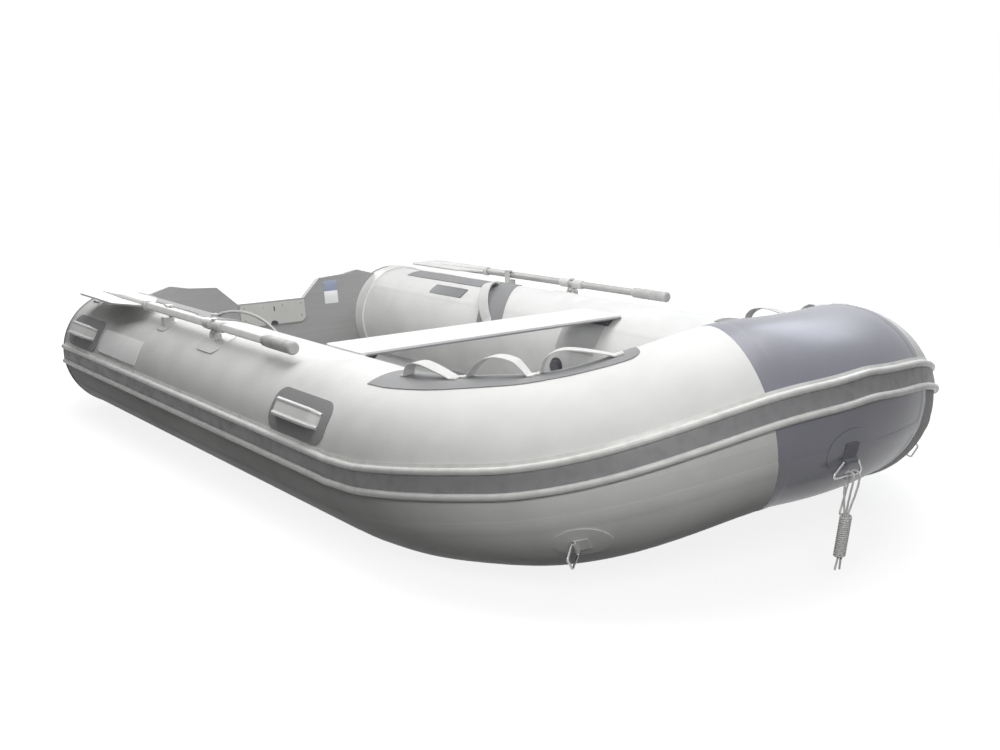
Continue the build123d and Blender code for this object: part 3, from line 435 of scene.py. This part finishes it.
CAD_FINISH = {
    "starboard_tube": tube_cloth,
    "port_tube": tube_cloth,
    "bow_tube": bow_cloth,
    "starboard_tail_cone": cone_plastic,
    "port_tail_cone": cone_plastic,
    "strake_band": strake_rubber,
    "strake_upper_bead": bead_rubber,
    "strake_lower_bead": bead_rubber,
    "hull_bottom": bottom_cloth,
    "keel_guard": keel_rubber,
    "transom_board": transom_paint,
    "transom_inner_pad": pad_plastic,
    "transom_outer_pad": outer_pad_plastic,
    "transom_drain_cap": dark_plastic,
    "transom_flanges": flange_plastic,
    "bench": bench_paint,
    "bench_brackets": dark_plastic,
    "bench_patches": bench_patch_painted_shade,
    "bow_floor_board": floor_paint,
    "floor_panel_1": floor_paint,
    "floor_panel_2": floor_paint,
    "floor_panel_3": floor_paint,
    "floor_panel_4": floor_paint,
    "floor_channels": channel_alloy,
    "side_handle_patches": patch_cloth,
    "side_handles": handle_plastic,
    "shoulder_patches": patch_cloth,
    "shoulder_straps": strap_webbing,
    "inside_bands": patch_cloth,
    "inside_straps": strap_webbing,
    "wear_pads": patch_cloth,
    "info_plate": dark_plate,
    "name_plate": plate_plastic,
    "air_valves": valve_plastic,
    "side_ring_patches": tube_cloth,
    "side_ring_tabs": strap_webbing,
    "side_rings": ring_steel,
    "tow_patch": bow_cloth,
    "tow_tab": tab_webbing,
    "tow_ring": ring_steel,
    "rope_hank": line_rope,
    "rowlock_bases": fitting_plastic,
    "dip_pins": pin_steel,
    "oar_clips": fitting_plastic,
    "starboard_rowlock_swivel": fitting_plastic,
    "port_rowlock_swivel": fitting_plastic,
    "starboard_rowlock_cap": fitting_plastic,
    "port_rowlock_cap": fitting_plastic,
    "starboard_oar_shaft": shaft_alloy,
    "port_oar_shaft": shaft_alloy,
    "starboard_oar_grip": grip_rubber,
    "port_oar_grip": grip_rubber,
    "starboard_oar_blade": blade_plastic,
    "port_oar_blade": blade_plastic,
}
for name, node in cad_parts.items():
    for slot in node.material_slots:
        slot.material = CAD_FINISH[name]


# ---------------------------------------------------------------- mooring line
# Two lines middled over the tow ring's lower side, the back half of one wrapped round the rest.
LINE = 0.005
RING_WIRE = 0.003
RING_HEIGHT = 0.031
TOW_RUN = 0.891
TOW_ANGLE = math.radians(-15.0)
BAR_STAND = 0.0028
BAR_BELOW_TAB = 0.020
LINE_SHIFT = 0.012
HANG_WAY = (Vector((-0.65, -0.76, 0)).normalized() * 0.026 - Vector((0, 0, 0.232))).normalized()
WRAP_START = 0.101
WRAP_TURNS = 19
WRAP_RADIUS = 0.0114
WRAP_PITCH = 0.0048
TURN_POINTS = 14


def tow_bar():
    """Middle of the tow ring's bar, with the ways along it and out from the bow."""
    middle, out, up = tube_axes(TOW_RUN)
    outward = out * math.cos(TOW_ANGLE) + up * math.sin(TOW_ANGLE)
    round_tube = up * math.cos(TOW_ANGLE) - out * math.sin(TOW_ANGLE)
    bar = middle + outward * (TUBE + PATCH + 2 * SKIN + RING_WIRE + BAR_STAND)
    return bar - round_tube * BAR_BELOW_TAB, round_tube.cross(outward), outward


BAR, BAR_WAY, BAR_OUT = tow_bar()
LEVEL = Vector((BAR_WAY.x, BAR_WAY.y, 0)).normalized()
DEPTH = LEVEL.cross(HANG_WAY).normalized()
DEPTH = DEPTH if DEPTH.dot(BAR_OUT) > 0 else -DEPTH
SADDLE = BAR + LEVEL * LINE_SHIFT - Vector((0, 0, RING_HEIGHT - RING_WIRE - LINE / 2))


def hung(across, depth, drop):
    """Place on the hanging line, measured from the ring's lower side."""
    return SADDLE + LEVEL * across + DEPTH * depth + HANG_WAY * drop


def line_points(name, places):
    """Points along the smooth line that those places steer."""
    data = bpy.data.curves.new(name, "CURVE")
    data.dimensions = "3D"
    data.resolution_u = 6
    spline = data.splines.new("NURBS")
    spline.points.add(len(places) - 1)
    for point, place in zip(spline.points, places):
        point.co = (*place, 1.0)
    spline.order_u = 3
    spline.use_endpoint_u = True
    route = bpy.data.objects.new(name, data)
    mesh = bpy.data.meshes.new_from_object(route)
    points = [v.co.copy() for v in mesh.vertices]
    bpy.data.objects.remove(route)
    bpy.data.meshes.remove(mesh)
    return points


def three_strand_line(name, places):
    """Laid line round a smooth route, its strands turning once every five diameters."""
    points = line_points(name + "_route", places)
    last = len(points) - 1
    gone = [0.0]
    for a, b in zip(points, points[1:]):
        gone.append(gone[-1] + (b - a).length)
    sides = []
    side = (points[1] - points[0]).orthogonal().normalized()
    for i, point in enumerate(points):
        way = (points[min(i + 1, last)] - points[max(i - 1, 0)]).normalized()
        side = (side - way * side.dot(way)).normalized()
        sides.append((side, way.cross(side)))
    bm = bmesh.new()
    bmesh.ops.create_grid(bm, x_segments=last, y_segments=15, size=0.5)
    layer = bm.loops.layers.uv.verify()
    for face in bm.faces:
        for loop in face.loops:
            row = round((loop.vert.co.x + 0.5) * last)
            loop[layer].uv = (gone[row], loop.vert.co.y * math.pi * LINE)
    for v in bm.verts:
        row = round((v.co.x + 0.5) * last)
        angle = 2 * math.pi * v.co.y
        lobe = 1.0 - 0.16 * abs(math.cos(1.5 * angle - math.pi * gone[row] / (5 * LINE)))
        one, other = sides[row]
        v.co = points[row] + (one * math.cos(angle) + other * math.sin(angle)) * LINE / 2 * lobe
    bmesh.ops.remove_doubles(bm, verts=bm.verts[:], dist=1e-5)
    bmesh.ops.holes_fill(bm, edges=[e for e in bm.edges if e.is_boundary], sides=0)
    piece = finish_piece(bm, name, line_rope, smooth=60.0)
    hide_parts("rope_hank")


def wrap_turns():
    """Close turns down the hanging strands."""
    turns = []
    for i in range(WRAP_TURNS * TURN_POINTS + 1):
        angle = 2 * math.pi * i / TURN_POINTS
        drop = WRAP_START + WRAP_PITCH * i / TURN_POINTS
        turns.append(hung(WRAP_RADIUS * math.sin(angle), -WRAP_RADIUS * math.cos(angle), drop))
    return turns


def mooring_line():
    end = WRAP_START + WRAP_TURNS * WRAP_PITCH
    three_strand_line("line_front_inner", [
        hung(-0.0100, 0.0000, 0.000), hung(-0.0102, 0.0070, -0.0004), hung(-0.0106, 0.0120, 0.006),
        hung(-0.0108, 0.0115, 0.020), hung(-0.0100, 0.0085, 0.050), hung(-0.0050, 0.0030, 0.085),
        hung(-0.0028, 0.0010, 0.110), hung(-0.0027, 0.0000, 0.150), hung(-0.0030, 0.0000, end),
        hung(-0.0075, 0.0020, end + 0.014), hung(-0.0110, 0.0030, end + 0.030),
    ])
    three_strand_line("line_front_outer", [
        hung(0.0080, 0.0000, 0.000), hung(0.0082, 0.0070, -0.0004), hung(0.0088, 0.0120, 0.006),
        hung(0.0095, 0.0115, 0.020), hung(0.0090, 0.0085, 0.050), hung(0.0045, 0.0030, 0.085),
        hung(0.0028, 0.0010, 0.110), hung(0.0027, 0.0000, 0.150), hung(0.0028, 0.0000, end),
        hung(0.0065, 0.0010, end + 0.012), hung(0.0085, 0.0000, end + 0.034),
    ])
    three_strand_line("line_back_inner", [
        hung(-0.0100, 0.0000, 0.000), hung(-0.0100, -0.0070, -0.0004), hung(-0.0098, -0.0120, 0.006),
        hung(-0.0094, -0.0115, 0.020), hung(-0.0070, -0.0100, 0.050), hung(-0.0020, -0.0070, 0.082),
        hung(0.0000, -0.0046, 0.104), hung(0.0000, -0.0045, 0.140), hung(0.0000, -0.0045, end - 0.010),
    ])
    three_strand_line("line_back_outer", [
        hung(0.0080, 0.0000, 0.000), hung(0.0080, -0.0070, -0.0004), hung(0.0078, -0.0120, 0.006),
        hung(0.0070, -0.0135, 0.022), hung(0.0045, -0.0145, 0.050), hung(-0.0020, -0.0140, 0.082),
        hung(-0.0080, -0.0120, 0.100),
    ] + wrap_turns() + [
        hung(0.0100, -0.0060, end + 0.003), hung(0.0110, -0.0010, end + 0.012),
    ])


# ---------------------------------------------------------------- webbing straps
SEAT = SKIN + PATCH + 0.0004
SEWING = 0.0012


def arch(chord, rise, peak):
    """Height of a strap between its sewn tabs, highest at that share of its length."""
    skew = math.log(0.5) / math.log(peak)

    def height(x):
        t = limit((x + chord / 2) / chord, 0.0, 1.0)
        return SEAT + rise * math.sin(math.pi * t ** skew) ** 0.85

    return height


def webbing_strap(chord, width, tab, rise, peak, thickness=WEBBING):
    """Arched strap with flat sewn tabs, lying along x, its selvedges slightly rounded."""
    bm = ribbon(chord + 2 * tab, width, thickness, arch(chord, rise, peak))
    rims = [e for e in bm.edges if e.calc_face_angle(0.0) > 1.0]
    ease(bm, rims, 0.0007)
    for middle in (-(chord + tab) / 2, (chord + tab) / 2):
        for x, y, along, across in (
            (0, 0.38, 0.7, 0), (0, -0.38, 0.7, 0), (0.35, 0, 0, 0.76), (-0.35, 0, 0, 0.76)
        ):
            thread = bmesh.ops.create_cube(bm, size=1.0)["verts"]
            size = (max(along * tab, SEWING), max(across * width, SEWING), 0.0008)
            bmesh.ops.scale(bm, vec=size, verts=thread)
            place = (middle + x * tab, y * width, SEAT + thickness + 0.0002)
            bmesh.ops.translate(bm, vec=place, verts=thread)
    return bm


# First foot, last foot, rise and the peak's share of each shoulder strap, as runs round the bow.
SHOULDER_STRAPS = (
    (-0.046, 0.134, 0.033, 0.34),
    (0.174, 0.334, 0.044, 0.48),
    (0.373, 0.551, 0.042, 0.34),
)


def shoulder_angle(run):
    """Angle of the grab straps up from outboard, which climbs round the shoulder."""
    return 84.0 + 7.0 * smooth_step(run, -0.050, 0.450)


def shoulder_straps():
    straps = bmesh.new()
    for first, last, rise, peak in SHOULDER_STRAPS:
        middle = (first + last) / 2
        for side in (1, -1):
            bm = webbing_strap(last - first, 0.030, 0.020, rise, peak)
            wrap(bm, middle, shoulder_angle(middle))
            bmesh.ops.scale(bm, vec=(1, side, 1), verts=bm.verts[:])
            join(straps, bm)
    piece = finish_piece(straps, "webbing_grab_straps", strap_webbing)
    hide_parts("shoulder_straps")


# Ends of the inside straps: place along the boat, and angle up from outboard.
INSIDE_STRAP_ENDS = ((-1.281, 101.0), (-1.137, 149.0))


def inside_straps():
    """Grab straps that cross the leaning bands on the tubes' inner sides."""
    top, low = INSIDE_STRAP_ENDS
    reach = Vector((low[0] - top[0], math.radians(low[1] - top[1]) * TUBE))
    bm = webbing_strap(reach.length, 0.038, 0.022, 0.029, 0.45, 2 * WEBBING)
    lean = Matrix.Rotation(math.atan2(reach.y, reach.x), 3, "Z")
    bmesh.ops.rotate(bm, cent=(0, 0, 0), matrix=lean, verts=bm.verts[:])
    wrap(bm, (top[0] + low[0]) / 2, (top[1] + low[1]) / 2)
    piece = finish_piece(bm, "webbing_inside_straps", strap_webbing, both_sides=True)
    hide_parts("inside_straps")


# ---------------------------------------------------------------- moulded handles
def carry_handles():
    """Channel-section grips with raised rims, two a side."""
    length, width, top, foot = 0.196, 0.044, 0.0262, 0.0032
    rim_width, rim_height, wall = 0.0055, 0.0042, 0.0030
    handles = bmesh.new()
    for run in HANDLE_RUNS:
        bm = bmesh.new()
        bmesh.ops.create_grid(bm, x_segments=64, y_segments=22, size=0.5)
        bmesh.ops.scale(bm, vec=(length + 0.016, width, 1), verts=bm.verts[:])
        for v in bm.verts:
            t = limit((length / 2 + 0.008 - abs(v.co.x)) / 0.024, 0.0, 1.0)
            rim = max(0.0, 1.0 - abs(abs(v.co.y) - width / 2 + rim_width) / rim_width)
            v.co.z = foot + (top - foot) * t * t * (3 - 2 * t)
            v.co.z += rim_height * rim * rim * (3 - 2 * rim)
        bmesh.ops.recalc_face_normals(bm, faces=bm.faces[:])
        bmesh.ops.solidify(bm, geom=bm.faces[:], thickness=wall)
        rims = [e for e in bm.edges if e.calc_face_angle(0.0) > 1.0]
        ease(bm, rims, 0.0009)
        wrap(bm, run, HANDLE_ANGLE)
        join(handles, bm)
    piece = finish_piece(handles, "moulded_carry_handles", handle_plastic, both_sides=True)
    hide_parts("side_handles")


# ---------------------------------------------------------------- glued tapes on the tubes
def tape(start, stop, angle, width, thickness):
    """Strip glued along the tube between two runs, at an angle that may change along it."""
    bm = bmesh.new()
    count = max(2, round((stop - start) / TAPE_STEP))
    bmesh.ops.create_grid(bm, x_segments=count, y_segments=4, size=0.5)
    bmesh.ops.scale(bm, vec=(stop - start, width, 1), verts=bm.verts[:])
    bmesh.ops.recalc_face_normals(bm, faces=bm.faces[:])
    bmesh.ops.solidify(bm, geom=bm.faces[:], thickness=-thickness)
    middle = (start + stop) / 2
    for v in bm.verts:
        run = middle + v.co.x
        edge = limit((width / 2 - abs(v.co.y)) / 0.003, 0.25, 1.0)
        v.co = on_tube(run, math.radians(angle(run)) + v.co.y / TUBE, SKIN + v.co.z * edge)
    return bm


def lower_seam_angle(run):
    """Angle of the seam under the strake, which climbs towards the bow."""
    return -34.0 + 17.5 * smooth_step(min(run, 2 * NOSE_RUN - run), -0.15, 0.47)


BOW_SEAM = 0.737
AFT_RUN = -2.080
TAIL_JOINT = 2.097
TAPE_STEP = 0.02
SEAM_WIDTH, SEAM_THICKNESS = 0.034, 0.0009
LENGTH_SEAM_WIDTH, LENGTH_SEAM_THICKNESS = 0.026, 0.0007
LENGTH_SEAM_ANGLES = (134.0, 221.0)


def seam_tapes():
    far = 2 * NOSE_RUN
    white = bmesh.new()
    for start, stop in ((AFT_RUN, BOW_SEAM), (far - BOW_SEAM, far - AFT_RUN)):
        join(white, tape(start, stop, lower_seam_angle, SEAM_WIDTH, SEAM_THICKNESS))
    for angle in LENGTH_SEAM_ANGLES:
        for start, stop in ((AFT_RUN + 0.09, -0.02), (far + 0.02, far - AFT_RUN - 0.09)):
            seam = tape(start, stop, lambda run, a=angle: a, LENGTH_SEAM_WIDTH, LENGTH_SEAM_THICKNESS)
            join(white, seam)
    finish_piece(white, "tube_seam_tapes", tube_cloth, smooth=30.0)
    dark = tape(BOW_SEAM, far - BOW_SEAM, lower_seam_angle, SEAM_WIDTH, SEAM_THICKNESS)
    finish_piece(dark, "bow_seam_tape", bow_cloth, smooth=30.0)


def joint_bands():
    """Narrow bands round the tube where the bow cloth and the tail cones join it."""
    far = 2 * NOSE_RUN
    bow_runs = (BOW_SEAM + 0.013, far - BOW_SEAM - 0.013)
    tail_runs = (-TAIL_JOINT, far + TAIL_JOINT)
    for name, runs, width, thickness, material in (
        ("bow_joint_bands", bow_runs, 0.026, 0.0008, bow_cloth),
        ("tail_joint_bands", tail_runs, 0.010, 0.0022, cone_plastic),
    ):
        bands = bmesh.new()
        for run in runs:
            bm = bmesh.new()
            bmesh.ops.create_grid(bm, x_segments=4, y_segments=96, size=0.5)
            bmesh.ops.scale(bm, vec=(width, 2 * math.pi * TUBE, 1), verts=bm.verts[:])
            for v in bm.verts:
                reach = limit((width / 2 - abs(v.co.x)) / (width / 4), 0.0, 1.0)
                turn = v.co.y / TUBE
                v.co = on_tube(run + v.co.x, turn, SKIN + thickness * math.sin(reach * math.pi / 2))
                v.co.z = max(v.co.z, GROUND + SKIN)
            bmesh.ops.remove_doubles(bm, verts=bm.verts[:], dist=1e-5)
            bmesh.ops.solidify(bm, geom=bm.faces[:], thickness=0.0004)
            join(bands, bm)
        finish_piece(bands, name, material, smooth=50.0)


# ---------------------------------------------------------------- transom and bench
TRANSOM_FOOT = ARC_X - 2.020
RAKE = math.radians(6.0)


def on_transom(across, up, lift):
    """Place over the transom's leaning front face."""
    x = TRANSOM_FOOT + lift * math.cos(RAKE) - up * math.sin(RAKE)
    return Vector((x, across, GROUND + up * math.cos(RAKE) + lift * math.sin(RAKE)))


def lay_on_transom(bm, across, up, lift):
    """Stands a flat shape on the transom: its x to port, its y up the board."""
    for v in bm.verts:
        v.co = on_transom(across - v.co.x, up + v.co.y, lift + v.co.z)


# Screws at the ends of the pad's two rows, and between them in the upper row only.
SCREW_PLACES = (
    (-0.122, 0.262), (-0.122, 0.312), (-0.041, 0.312),
    (0.041, 0.312), (0.122, 0.262), (0.122, 0.312),
)
SCREW_LIFT = 0.0068
SLOT_LIFT = 0.0062


def transom_fittings():
    screws = bmesh.new()
    for across, up in SCREW_PLACES:
        bm = bmesh.new()
        bmesh.ops.create_cone(
            bm, cap_ends=True, segments=20, radius1=0.0048, radius2=0.0040, depth=0.0022
        )
        slit = bmesh.ops.create_cube(bm, size=1.0)["verts"]
        bmesh.ops.scale(bm, vec=(0.0070, 0.0009, 0.0006), verts=slit)
        bmesh.ops.translate(bm, vec=(0, 0, 0.0013), verts=slit)
        lay_on_transom(bm, across, up, SCREW_LIFT)
        join(screws, bm)
    finish_piece(screws, "pad_screws", pin_steel)
    # The pad's slot is a thin dark plate on the pad rather than an opening: its dark colour is painted
    # shade of the slot's hollow.
    for name, size, corner, place, finish in (
        ("pad_slot_painted_shade", (0.0050, 0.0200), 0.0024, (0.005, 0.300, SLOT_LIFT), dark_plastic),
        ("transom_blank_plate", (0.062, 0.052), 0.003, (0.268, 0.322, SKIN), plate_plastic),
        ("transom_tinted_plate", (0.062, 0.042), 0.003, (0.268, 0.370, SKIN), printed_blue),
    ):
        bm = plate(*size, corner, 0.0008, 0.0002)
        lay_on_transom(bm, *place)
        finish_piece(bm, name, finish)


# Angle of the bottom's glued edge round the tube, its thickness and its V's depth at the front.
BOTTOM_SEAM = math.radians(-110.0)
BOTTOM_SHEET = 0.005
BOTTOM_DEPTH = 0.0487
APRON_END = NOSE_RUN - 0.0005


def bottom_apron():
    """Cloth that closes the bottom between its front edge and the bow tube's underside."""
    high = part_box("hull_bottom")[1]
    rows, across = 10, 12

    def edge(run):
        return on_tube(run, BOTTOM_SEAM, -0.001)

    start, end = NOSE_RUN - 0.2, NOSE_RUN
    for _ in range(40):
        middle = (start + end) / 2
        start, end = (middle, end) if edge(middle).x < high.x else (start, middle)
    first, ridge_first = start, high.z - BOTTOM_DEPTH
    tip = edge(APRON_END).z
    bm = bmesh.new()
    layers = []
    for drop in (0.0, BOTTOM_SHEET):
        grid = []
        for i in range(rows + 1):
            t = i / rows
            side = edge(first + (APRON_END - first) * t)
            ridge = ridge_first + (tip - ridge_first) * t * t
            line = []
            for j in range(across + 1):
                share = abs(2 * j / across - 1)
                y = side.y * (1 - 2 * j / across)
                line.append(bm.verts.new((side.x, y, ridge + (side.z - ridge) * share - drop)))
            grid.append(line)
        layers.append(grid)
    top, low = layers
    for i in range(rows):
        for j in range(across):
            bm.faces.new((top[i][j], top[i][j + 1], top[i + 1][j + 1], top[i + 1][j]))
            bm.faces.new((low[i][j], low[i + 1][j], low[i + 1][j + 1], low[i][j + 1]))
        for j in (0, across):
            bm.faces.new((top[i][j], top[i + 1][j], low[i + 1][j], low[i][j]))
    for i in (0, rows):
        for j in range(across):
            bm.faces.new((top[i][j], top[i][j + 1], low[i][j + 1], low[i][j]))
    finish_piece(bm, "bottom_apron", bottom_cloth)


def bench_edging():
    """Grey extrusion under the bench's two long edges."""
    low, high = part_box("bench")
    edging = bmesh.new()
    for x, way in ((high.x, 1), (low.x, -1)):
        made = bmesh.ops.create_cube(edging, size=1.0)["verts"]
        bmesh.ops.scale(edging, vec=(0.0030, high.y - low.y - 0.026, 0.0050), verts=made)
        bmesh.ops.translate(edging, vec=(x + way * 0.0018, 0, low.z + 0.0021), verts=made)
    rims = [e for e in edging.edges if e.calc_length() > 0.5]
    ease(edging, rims, 0.0012, 3)
    finish_piece(edging, "bench_edging", edging_plastic)


# ---------------------------------------------------------------- oar details
OAR_LOW, OAR_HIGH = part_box("starboard_oar_shaft")
OAR_Y = -(OAR_LOW.y + OAR_HIGH.y) / 2
OAR_Z = (OAR_LOW.z + OAR_HIGH.z) / 2
GRIP_LOW, GRIP_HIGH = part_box("starboard_oar_grip")
BLADE_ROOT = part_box("starboard_oar_blade")[1].x
ROWLOCK_X = ARC_X - 0.986
# Ribs round the grip: how many, and the first one's place and their spacing as shares of it.
GRIP_RIBS, FIRST_RIB, RIB_SPACING = 7, 0.16, 0.105
SLEEVE_SHIFT, SLEEVE_RADIUS, SLEEVE_LENGTH = 0.036, 0.0165, 0.046


def turned(bm, middle, radius, length, edge, side):
    """Ring round the oar's shaft with eased rims."""
    made = bmesh.ops.create_cone(
        bm, cap_ends=True, segments=40, radius1=radius, radius2=radius, depth=length
    )["verts"]
    rims = {e for v in made for e in v.link_edges if abs(e.verts[0].co.z - e.verts[1].co.z) < 1e-6}
    made = list(set(ease(bm, list(rims), edge, 3) + [v for v in made if v.is_valid]))
    bmesh.ops.rotate(bm, cent=(0, 0, 0), matrix=Matrix.Rotation(math.pi / 2, 3, "Y"), verts=made)
    bmesh.ops.translate(bm, vec=(middle, side * OAR_Y, OAR_Z), verts=made)


def oar_details():
    for side, name in ((-1, "starboard"), (1, "port")):
        ribs = bmesh.new()
        grip = GRIP_HIGH.x - GRIP_LOW.x
        for i in range(GRIP_RIBS):
            place = GRIP_LOW.x + grip * (FIRST_RIB + RIB_SPACING * i)
            turned(ribs, place, 0.0178, 0.0090, 0.0030, side)
        turned(ribs, GRIP_HIGH.x - 0.0075, 0.0182, 0.0110, 0.0040, side)
        finish_piece(ribs, name + "_grip_ribs", grip_rubber, body=name + "_oar")
        sleeve = bmesh.new()
        for shift in (-SLEEVE_SHIFT, SLEEVE_SHIFT):
            turned(sleeve, ROWLOCK_X + shift, SLEEVE_RADIUS, SLEEVE_LENGTH, 0.0025, side)
        turned(sleeve, BLADE_ROOT - 0.008, 0.0175, 0.020, 0.0030, side)
        finish_piece(sleeve, name + "_oar_sleeves", fitting_plastic, body=name + "_oar")


mooring_line()
shoulder_straps()
inside_straps()
carry_handles()
seam_tapes()
joint_bands()
transom_fittings()
bottom_apron()
bench_edging()
oar_details()


# ---------------------------------------------------------------- stage, light and camera
STUDIO_COLOUR, STUDIO_LIGHT = (0.92, 0.95, 1.0, 1), 0.02
FLOOR_DARK, FLOOR_PALE = (0.04, 0.04, 0.04, 1), (0.30, 0.30, 0.30, 1)
# The seen floor glows from the first strength to the second, between the two distances.
FLOOR_GLOW = (0.86, 1.0)
GLOW_REACH = (1.2, 3.2)
CAMERA_PLACE = (ARC_X + 2.1379, -1.9814, GROUND + 0.9746)
CAMERA_YAW, CAMERA_PITCH = math.radians(139.113), math.radians(-13.785)
CAMERA_ROLL = -0.005
CAMERA_LENS = 39.986
CAMERA_SHIFT = (-0.0802, 0.0327)
# Name, place, target, size, power and colour of each lamp.
LAMPS = (
    ("overhead", (0.3, -0.2, 3.2), (0.1, 0, 0), (3.6, 2.8), 110, (1, 1, 1)),
    ("ahead", (2.7, -1.6, 1.4), (0.6, 0, 0.2), (1.2, 0.8), 23, (1, 1, 1)),
    ("behind", (-3.6, 0.5, 1.5), (-1.4, 0, 0.3), (1.6, 1.2), 24, (1, 1, 1)),
    ("across", (0.6, 2.4, 2.6), (0.7, -0.1, 0.4), (2.0, 0.9), 24, (0.84, 0.90, 1.0)),
)


def seen_rays(tree):
    """1 for rays from the camera, in gloss or through glass, 0 for light on the object."""
    path = tree.nodes.new("ShaderNodeLightPath")
    seen = path.outputs["Is Camera Ray"]
    for kind in ("Is Glossy Ray", "Is Transmission Ray"):
        either = tree.nodes.new("ShaderNodeMath")
        either.operation = "MAXIMUM"
        tree.links.new(seen, either.inputs[0])
        tree.links.new(path.outputs[kind], either.inputs[1])
        seen = either.outputs[0]
    return seen


def studio():
    """White surroundings that hardly light the boat, and the floor."""
    world = bpy.data.worlds.new("studio")
    bpy.context.scene.world = world
    world.use_nodes = True
    tree = world.node_tree
    plain = tree.nodes["Background"]
    plain.inputs["Color"].default_value = STUDIO_COLOUR
    plain.inputs["Strength"].default_value = STUDIO_LIGHT
    white = tree.nodes.new("ShaderNodeBackground")
    white.inputs["Color"].default_value = (1, 1, 1, 1)
    white.inputs["Strength"].default_value = 1.0
    mix = tree.nodes.new("ShaderNodeMixShader")
    tree.links.new(seen_rays(tree), mix.inputs["Fac"])
    tree.links.new(plain.outputs[0], mix.inputs[1])
    tree.links.new(white.outputs[0], mix.inputs[2])
    tree.links.new(mix.outputs[0], tree.nodes["World Output"].inputs["Surface"])

    bm = bmesh.new()
    bmesh.ops.create_grid(bm, x_segments=1, y_segments=1, size=30)
    mesh = bpy.data.meshes.new("floor")
    bm.to_mesh(mesh)
    bm.free()
    mesh.transform(Matrix.Translation((0, 0, GROUND)))
    floor = bpy.data.objects.new("floor", mesh)
    bpy.context.scene.collection.objects.link(floor)
    material = bpy.data.materials.new("floor")
    material.use_nodes = True
    tree = material.node_tree
    shader = tree.nodes["Principled BSDF"]
    shader.inputs["Base Color"].default_value = FLOOR_DARK
    shader.inputs["Roughness"].default_value = 0.9
    shader.inputs["Specular IOR Level"].default_value = 0.0
    pale = tree.nodes.new("ShaderNodeBsdfDiffuse")
    pale.inputs["Color"].default_value = FLOOR_PALE
    glow = tree.nodes.new("ShaderNodeEmission")
    places = tree.nodes.new("ShaderNodeTexCoord")
    away = tree.nodes.new("ShaderNodeVectorMath")
    away.operation = "LENGTH"
    tree.links.new(places.outputs["Object"], away.inputs[0])
    brighter = tree.nodes.new("ShaderNodeMapRange")
    brighter.interpolation_type = "SMOOTHSTEP"
    tree.links.new(away.outputs["Value"], brighter.inputs["Value"])
    brighter.inputs["From Min"].default_value, brighter.inputs["From Max"].default_value = GLOW_REACH
    brighter.inputs["To Min"].default_value, brighter.inputs["To Max"].default_value = FLOOR_GLOW
    tree.links.new(brighter.outputs["Result"], glow.inputs["Strength"])
    lit = tree.nodes.new("ShaderNodeAddShader")
    tree.links.new(pale.outputs[0], lit.inputs[0])
    tree.links.new(glow.outputs[0], lit.inputs[1])
    mix = tree.nodes.new("ShaderNodeMixShader")
    tree.links.new(seen_rays(tree), mix.inputs["Fac"])
    tree.links.new(shader.outputs[0], mix.inputs[1])
    tree.links.new(lit.outputs[0], mix.inputs[2])
    tree.links.new(mix.outputs[0], tree.nodes["Material Output"].inputs["Surface"])
    mesh.materials.append(material)


def area_light(name, place, target, size, power, colour):
    data = bpy.data.lights.new(name, "AREA")
    data.shape = "RECTANGLE"
    data.size, data.size_y = size
    data.energy = power
    data.color = colour
    light = bpy.data.objects.new(name, data)
    light.location = place
    light.rotation_euler = (Vector(target) - Vector(place)).to_track_quat("-Z", "Y").to_euler()
    bpy.context.scene.collection.objects.link(light)


def camera():
    data = bpy.data.cameras.new("camera")
    data.sensor_width = 36.0
    data.lens = CAMERA_LENS
    data.shift_x, data.shift_y = CAMERA_SHIFT
    obj = bpy.data.objects.new("camera", data)
    obj.location = CAMERA_PLACE
    flat = math.cos(CAMERA_PITCH)
    way = Vector((math.cos(CAMERA_YAW) * flat, math.sin(CAMERA_YAW) * flat, math.sin(CAMERA_PITCH)))
    level = way.to_track_quat("-Z", "Y")
    obj.rotation_euler = (level @ Quaternion((0, 0, 1), CAMERA_ROLL)).to_euler()
    bpy.context.scene.collection.objects.link(obj)
    bpy.context.scene.camera = obj


studio()
for lamp in LAMPS:
    area_light(*lamp)
camera()
bpy.context.scene.view_settings.view_transform = "Standard"
